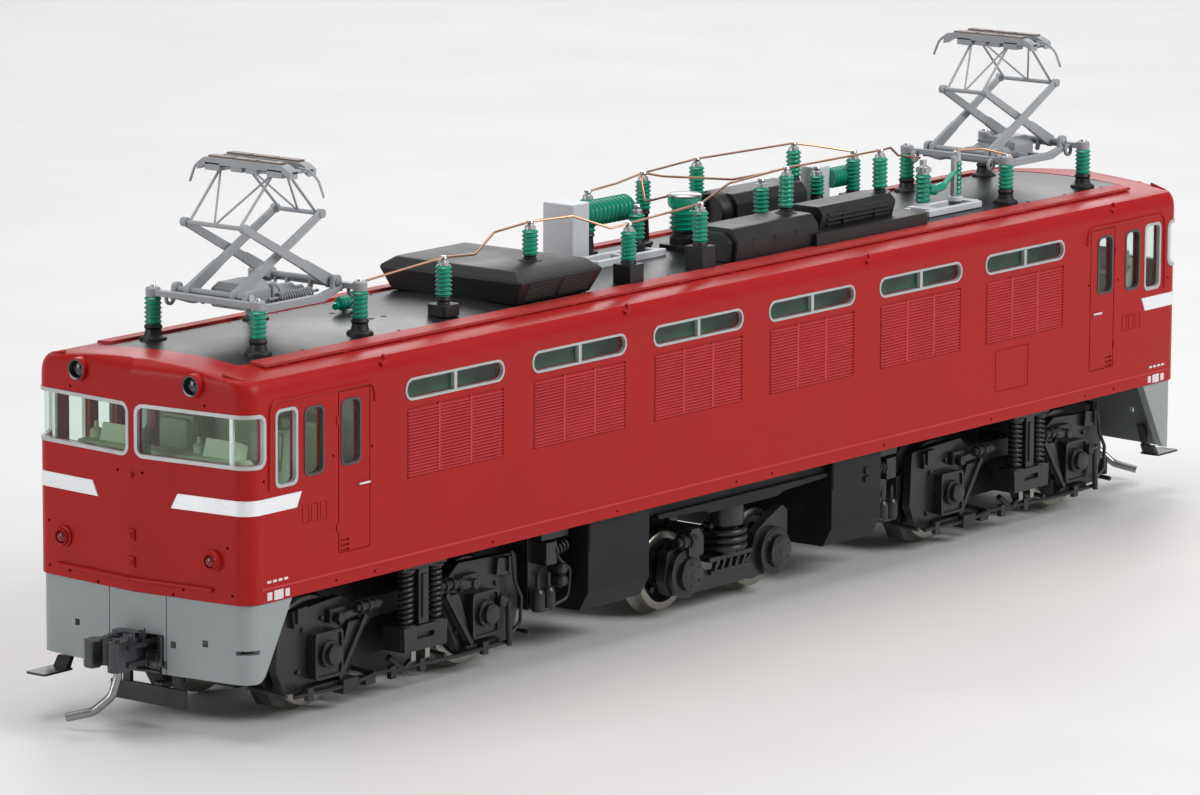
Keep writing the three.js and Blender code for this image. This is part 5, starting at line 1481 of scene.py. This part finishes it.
def tanks():
    """Equipment under the floor: two deep chamfered tanks and the long duct between them."""
    def tank(x0, x1):
        section = [(-16.4, 7.2), (-14.9, 4.5), (-1, 4.5), (-1, 14.8), (-9, 14.8), (-9, 16.6), (-16.4, 16.6)]
        shape = prism(rounded(section, [0.5, 0.5, 0, 0, 0, 0, 0]), "x", x0, x1)
        return shape + box(x0 + 0.1, x0 + 0.6, -16.55, -16.3, 12.6, 16.2)
    front, rear = (-34.7, -21.6), (19.4, 30.9)
    near = tank(*front) + tank(*rear)
    near += box(front[1] - 0.2, rear[0] + 0.2, -15.2, -12.4, 14.9, 16.6)
    cover = [(-19, 14.4), (-9, 14.0), (-7.6, 13.5), (7.6, 13.5), (9, 14.0), (19, 14.4), (19, 15.0),
             (-19, 15.0)]
    near += prism(rounded(cover, [0, 1, 1, 1, 1, 0, 0, 0], 3), "y", -15.9, -12.6)
    near += disc(27.4, -16.35, 14.2, 0.6, 0.25, 18, 0.05) + box(26.8, 28.0, -16.7, -16.3, 12.6, 13.4)
    make("tanks_near", near, TANK, bevel=0.12, replaces=["equipment_near"])
    make("tanks_far", half_turn(near), TANK, bevel=0.12, replaces=["equipment_far"])


def air_gear():
    """Valves, reservoirs and pipes between the bogies and the tanks."""
    air = box(-42.6, -36.8, -12.6, -10.6, 5.6, 16.2) + box(-42.2, -36.6, -14.6, -12.4, 14.9, 16.4)
    air += box(-41.6, -39.4, -14.9, -12.4, 11.6, 14.6)
    ribbed = [(0, 0), (0.5, 0)]
    for start in (0, 0.7, 1.4, 2.1):
        ribbed += [(0.95, start + 0.1), (0.95, start + 0.4), (0.6, start + 0.5), (0.6, start + 0.75)]
    ribbed += [(0, 3.0)]
    air += tilted(lathe(ribbed, "x", (-39.6, -14.2, 13.2), 20), 12, "y", (-39.6, -14.2, 13.2))
    dome = [(0, 0), (0.6, 0.1), (0.9, 0.45), (0.95, 0.9), (0.95, 2.4), (0, 2.4)]
    for z in (9.0, 10.6):
        air += lathe(dome, "y", (-37.6, -15.0, z), 22)
    upright = [(0, 5.4), (0.7, 5.5), (0.95, 5.9), (0.95, 8.0), (0.6, 8.5), (0.3, 8.6), (0.3, 10.4),
               (0, 10.4)]
    for x in (-42.0, -39.8):
        air += lathe(upright, "z", (x, -13.8, 0), 22)
    pipe = [(-38.6, -13.6, 15.4), (-38.4, -14.4, 12.0), (-36.2, -14.6, 10.4), (-36.4, -14.4, 6.6),
            (-41.4, -14.2, 5.6)]
    air += tube(bent(pipe, [1.2, 1.0, 1.2]), 0.24, 8)
    mirror = moved(flipped(air, "x"), x=-5.0)
    make("air_gear", air + mirror + half_turn(air + mirror), UNDER)


# ---- what the CAD carries over: hidden inside, but finished all the same ----
CARRIED = {
    "chassis_frame": ZINC, "motor_casing": STEEL, "motor_rotor": BRASS, "machine_room_liner": LINER,
    "circuit_board": CIRCUIT, "centre_bolster": UNDER, "cab_interior_front": CAB, "cab_interior_rear": CAB,
    "gearbox_front": UNDER, "gearbox_rear": UNDER,
    "cardan_shaft_front": UNDER, "cardan_shaft_rear": UNDER, "worm_shaft_front": STEEL,
    "worm_shaft_rear": STEEL,
}


def carried_over():
    for name, (material, _) in CARRIED.items():
        mesh = frame["nodes"][name].data
        mesh.materials.clear()
        mesh.materials.append(material)


def cab_details():
    """Desk instruments, control stands and seat cushions, seen through the windscreens."""
    shape = []
    for y in (-9.0, 8.0):
        shape += prism([(-99.4, 33.4), (-97.0, 33.4), (-96.6, 35.0), (-98.6, 35.8)], "y", y - 2.6, y + 2.6)
        shape += lathe([(0, 33.4), (0.8, 33.4), (0.8, 34.6), (0.3, 34.8), (0.3, 35.6), (0, 35.7)], "z",
                       (-98.0, y + 4.2, 0), 18)
    shape += slab(-84.9, -80.9, 27, 40.6, 0.4, "y", 6.4, 13.4, 3)
    shape += slab(-84.9, -80.9, 27, 36.4, 0.4, "y", -13.4, -6.8, 3)
    shape += box(-85.1, -84.85, 7.2, 12.6, 28, 39.6) + box(-85.1, -84.85, -12.6, -7.6, 28, 35.6)
    cushions = []
    for y in (-7.5, 7.5):
        cushions += slab(-91.8, -88.4, y - 2.3, y + 2.3, 0.6, "z", 30.5, 31.3)
        cushions += slab(y - 2.3, y + 2.3, 31.4, 35.2, 0.6, "x", -88.9, -88.1)
    make_ends("cab_fittings", shape, CAB, bevel=0.12)
    make_ends("cab_seat_cushions", cushions, CAB, bevel=0.2)


# ---- floor, lights and camera -----------------------------------------------
def stage():
    """The pale floor, which bends up into a low wall behind the model."""
    pale, tree, space = new_tree("studio_floor")
    cloud = spread(tree, noise(tree, space, 40, 3.0), 0.0, 1.0)
    tone = blend(tree, cloud, (0.74, 0.74, 0.73, 1), (0.78, 0.78, 0.77, 1))
    end_tree(tree, node(tree, "ShaderNodeBsdfPrincipled", {"Base Color": tone, "Roughness": 0.55}))
    size, wall, rise = 1600, 1100, 250  # the roof mirrors the wall's upper edge
    profile = rounded([(-size, 0), (wall, 0), (wall, rise)], [0, 200, 0], 16, closed=False)
    count = len(profile)
    verts = [(x * MM, a * MM, b * MM) for x in (-size, size) for a, b in profile]
    faces = [(i, i + 1, count + i + 1, count + i) for i in range(count - 1)]
    mesh = bpy.data.meshes.new("floor")
    mesh.from_pydata(verts, [], faces)
    mesh.materials.append(pale)
    mesh.shade_smooth()
    floor = bpy.data.objects.new("floor", mesh)
    floor.rotation_euler.z = math.radians(-30)
    bpy.context.scene.collection.objects.link(floor)


def lamp(name, place, target, size, power):
    data = bpy.data.lights.new(name, "AREA")
    data.shape = "RECTANGLE"
    data.size, data.size_y = size[0] * MM, size[1] * MM
    data.energy = power
    obj = bpy.data.objects.new(name, data)
    obj.location = Vector(place) * MM
    obj.rotation_euler = (Vector(target) - Vector(place)).to_track_quat("-Z", "Y").to_euler()
    bpy.context.scene.collection.objects.link(obj)


def lights():
    lamp("key", (250, -900, 650), (0, 0, 20), (600, 450), 7.6)
    lamp("top", (0, 150, 900), (0, 0, 30), (900, 700), 4.6)
    lamp("front_fill", (-880, 420, 240), (0, 0, 30), (500, 400), 2.4)
    lamp("rear_rim", (700, 500, 420), (0, 0, 40), (500, 400), 1.8)
    world = bpy.data.worlds.new("studio")
    world.use_nodes = True
    sky = world.node_tree.nodes["Background"].inputs
    sky["Color"].default_value = (0.95, 0.97, 1.0, 1)
    sky["Strength"].default_value = 0.24
    bpy.context.scene.world = world


CAMERA = {
    "place": (-712.87, -542.03, 188.16), "target": (-4.015, 5.539, 26.17), "roll": 0.323, "lens": 202.09,
    "sensor": 36,
}


def camera():
    data = bpy.data.cameras.new("camera")
    data.lens = CAMERA["lens"]
    data.sensor_width = CAMERA["sensor"]
    data.clip_end = 10
    obj = bpy.data.objects.new("camera", data)
    rail = Vector((0, 0, RAIL))
    place, target = Vector(CAMERA["place"]) + rail, Vector(CAMERA["target"]) + rail
    turn = (target - place).to_track_quat("-Z", "Y")
    roll = Quaternion((0, 0, 1), math.radians(CAMERA["roll"]))
    obj.rotation_euler = (turn @ roll).to_euler()
    obj.location = place * MM
    bpy.context.scene.collection.objects.link(obj)
    bpy.context.scene.camera = obj


def build():
    body()
    body_trim()
    louvres()
    side_windows()
    cab_windows()
    lamps()
    marks()
    skirts()
    couplers()
    roof_deck()
    insulators()
    bus_lines()
    hood_front()
    hood_rear()
    hood_far()
    breaker()
    isolator()
    panto_base()
    panto_arms()
    panto_head()
    drive_bogies()
    centre_bogie()
    wheels()
    tanks()
    air_gear()
    cab_details()
    carried_over()


build()
stage()
lights()
camera()
bpy.context.scene.view_settings.view_transform = "Standard"
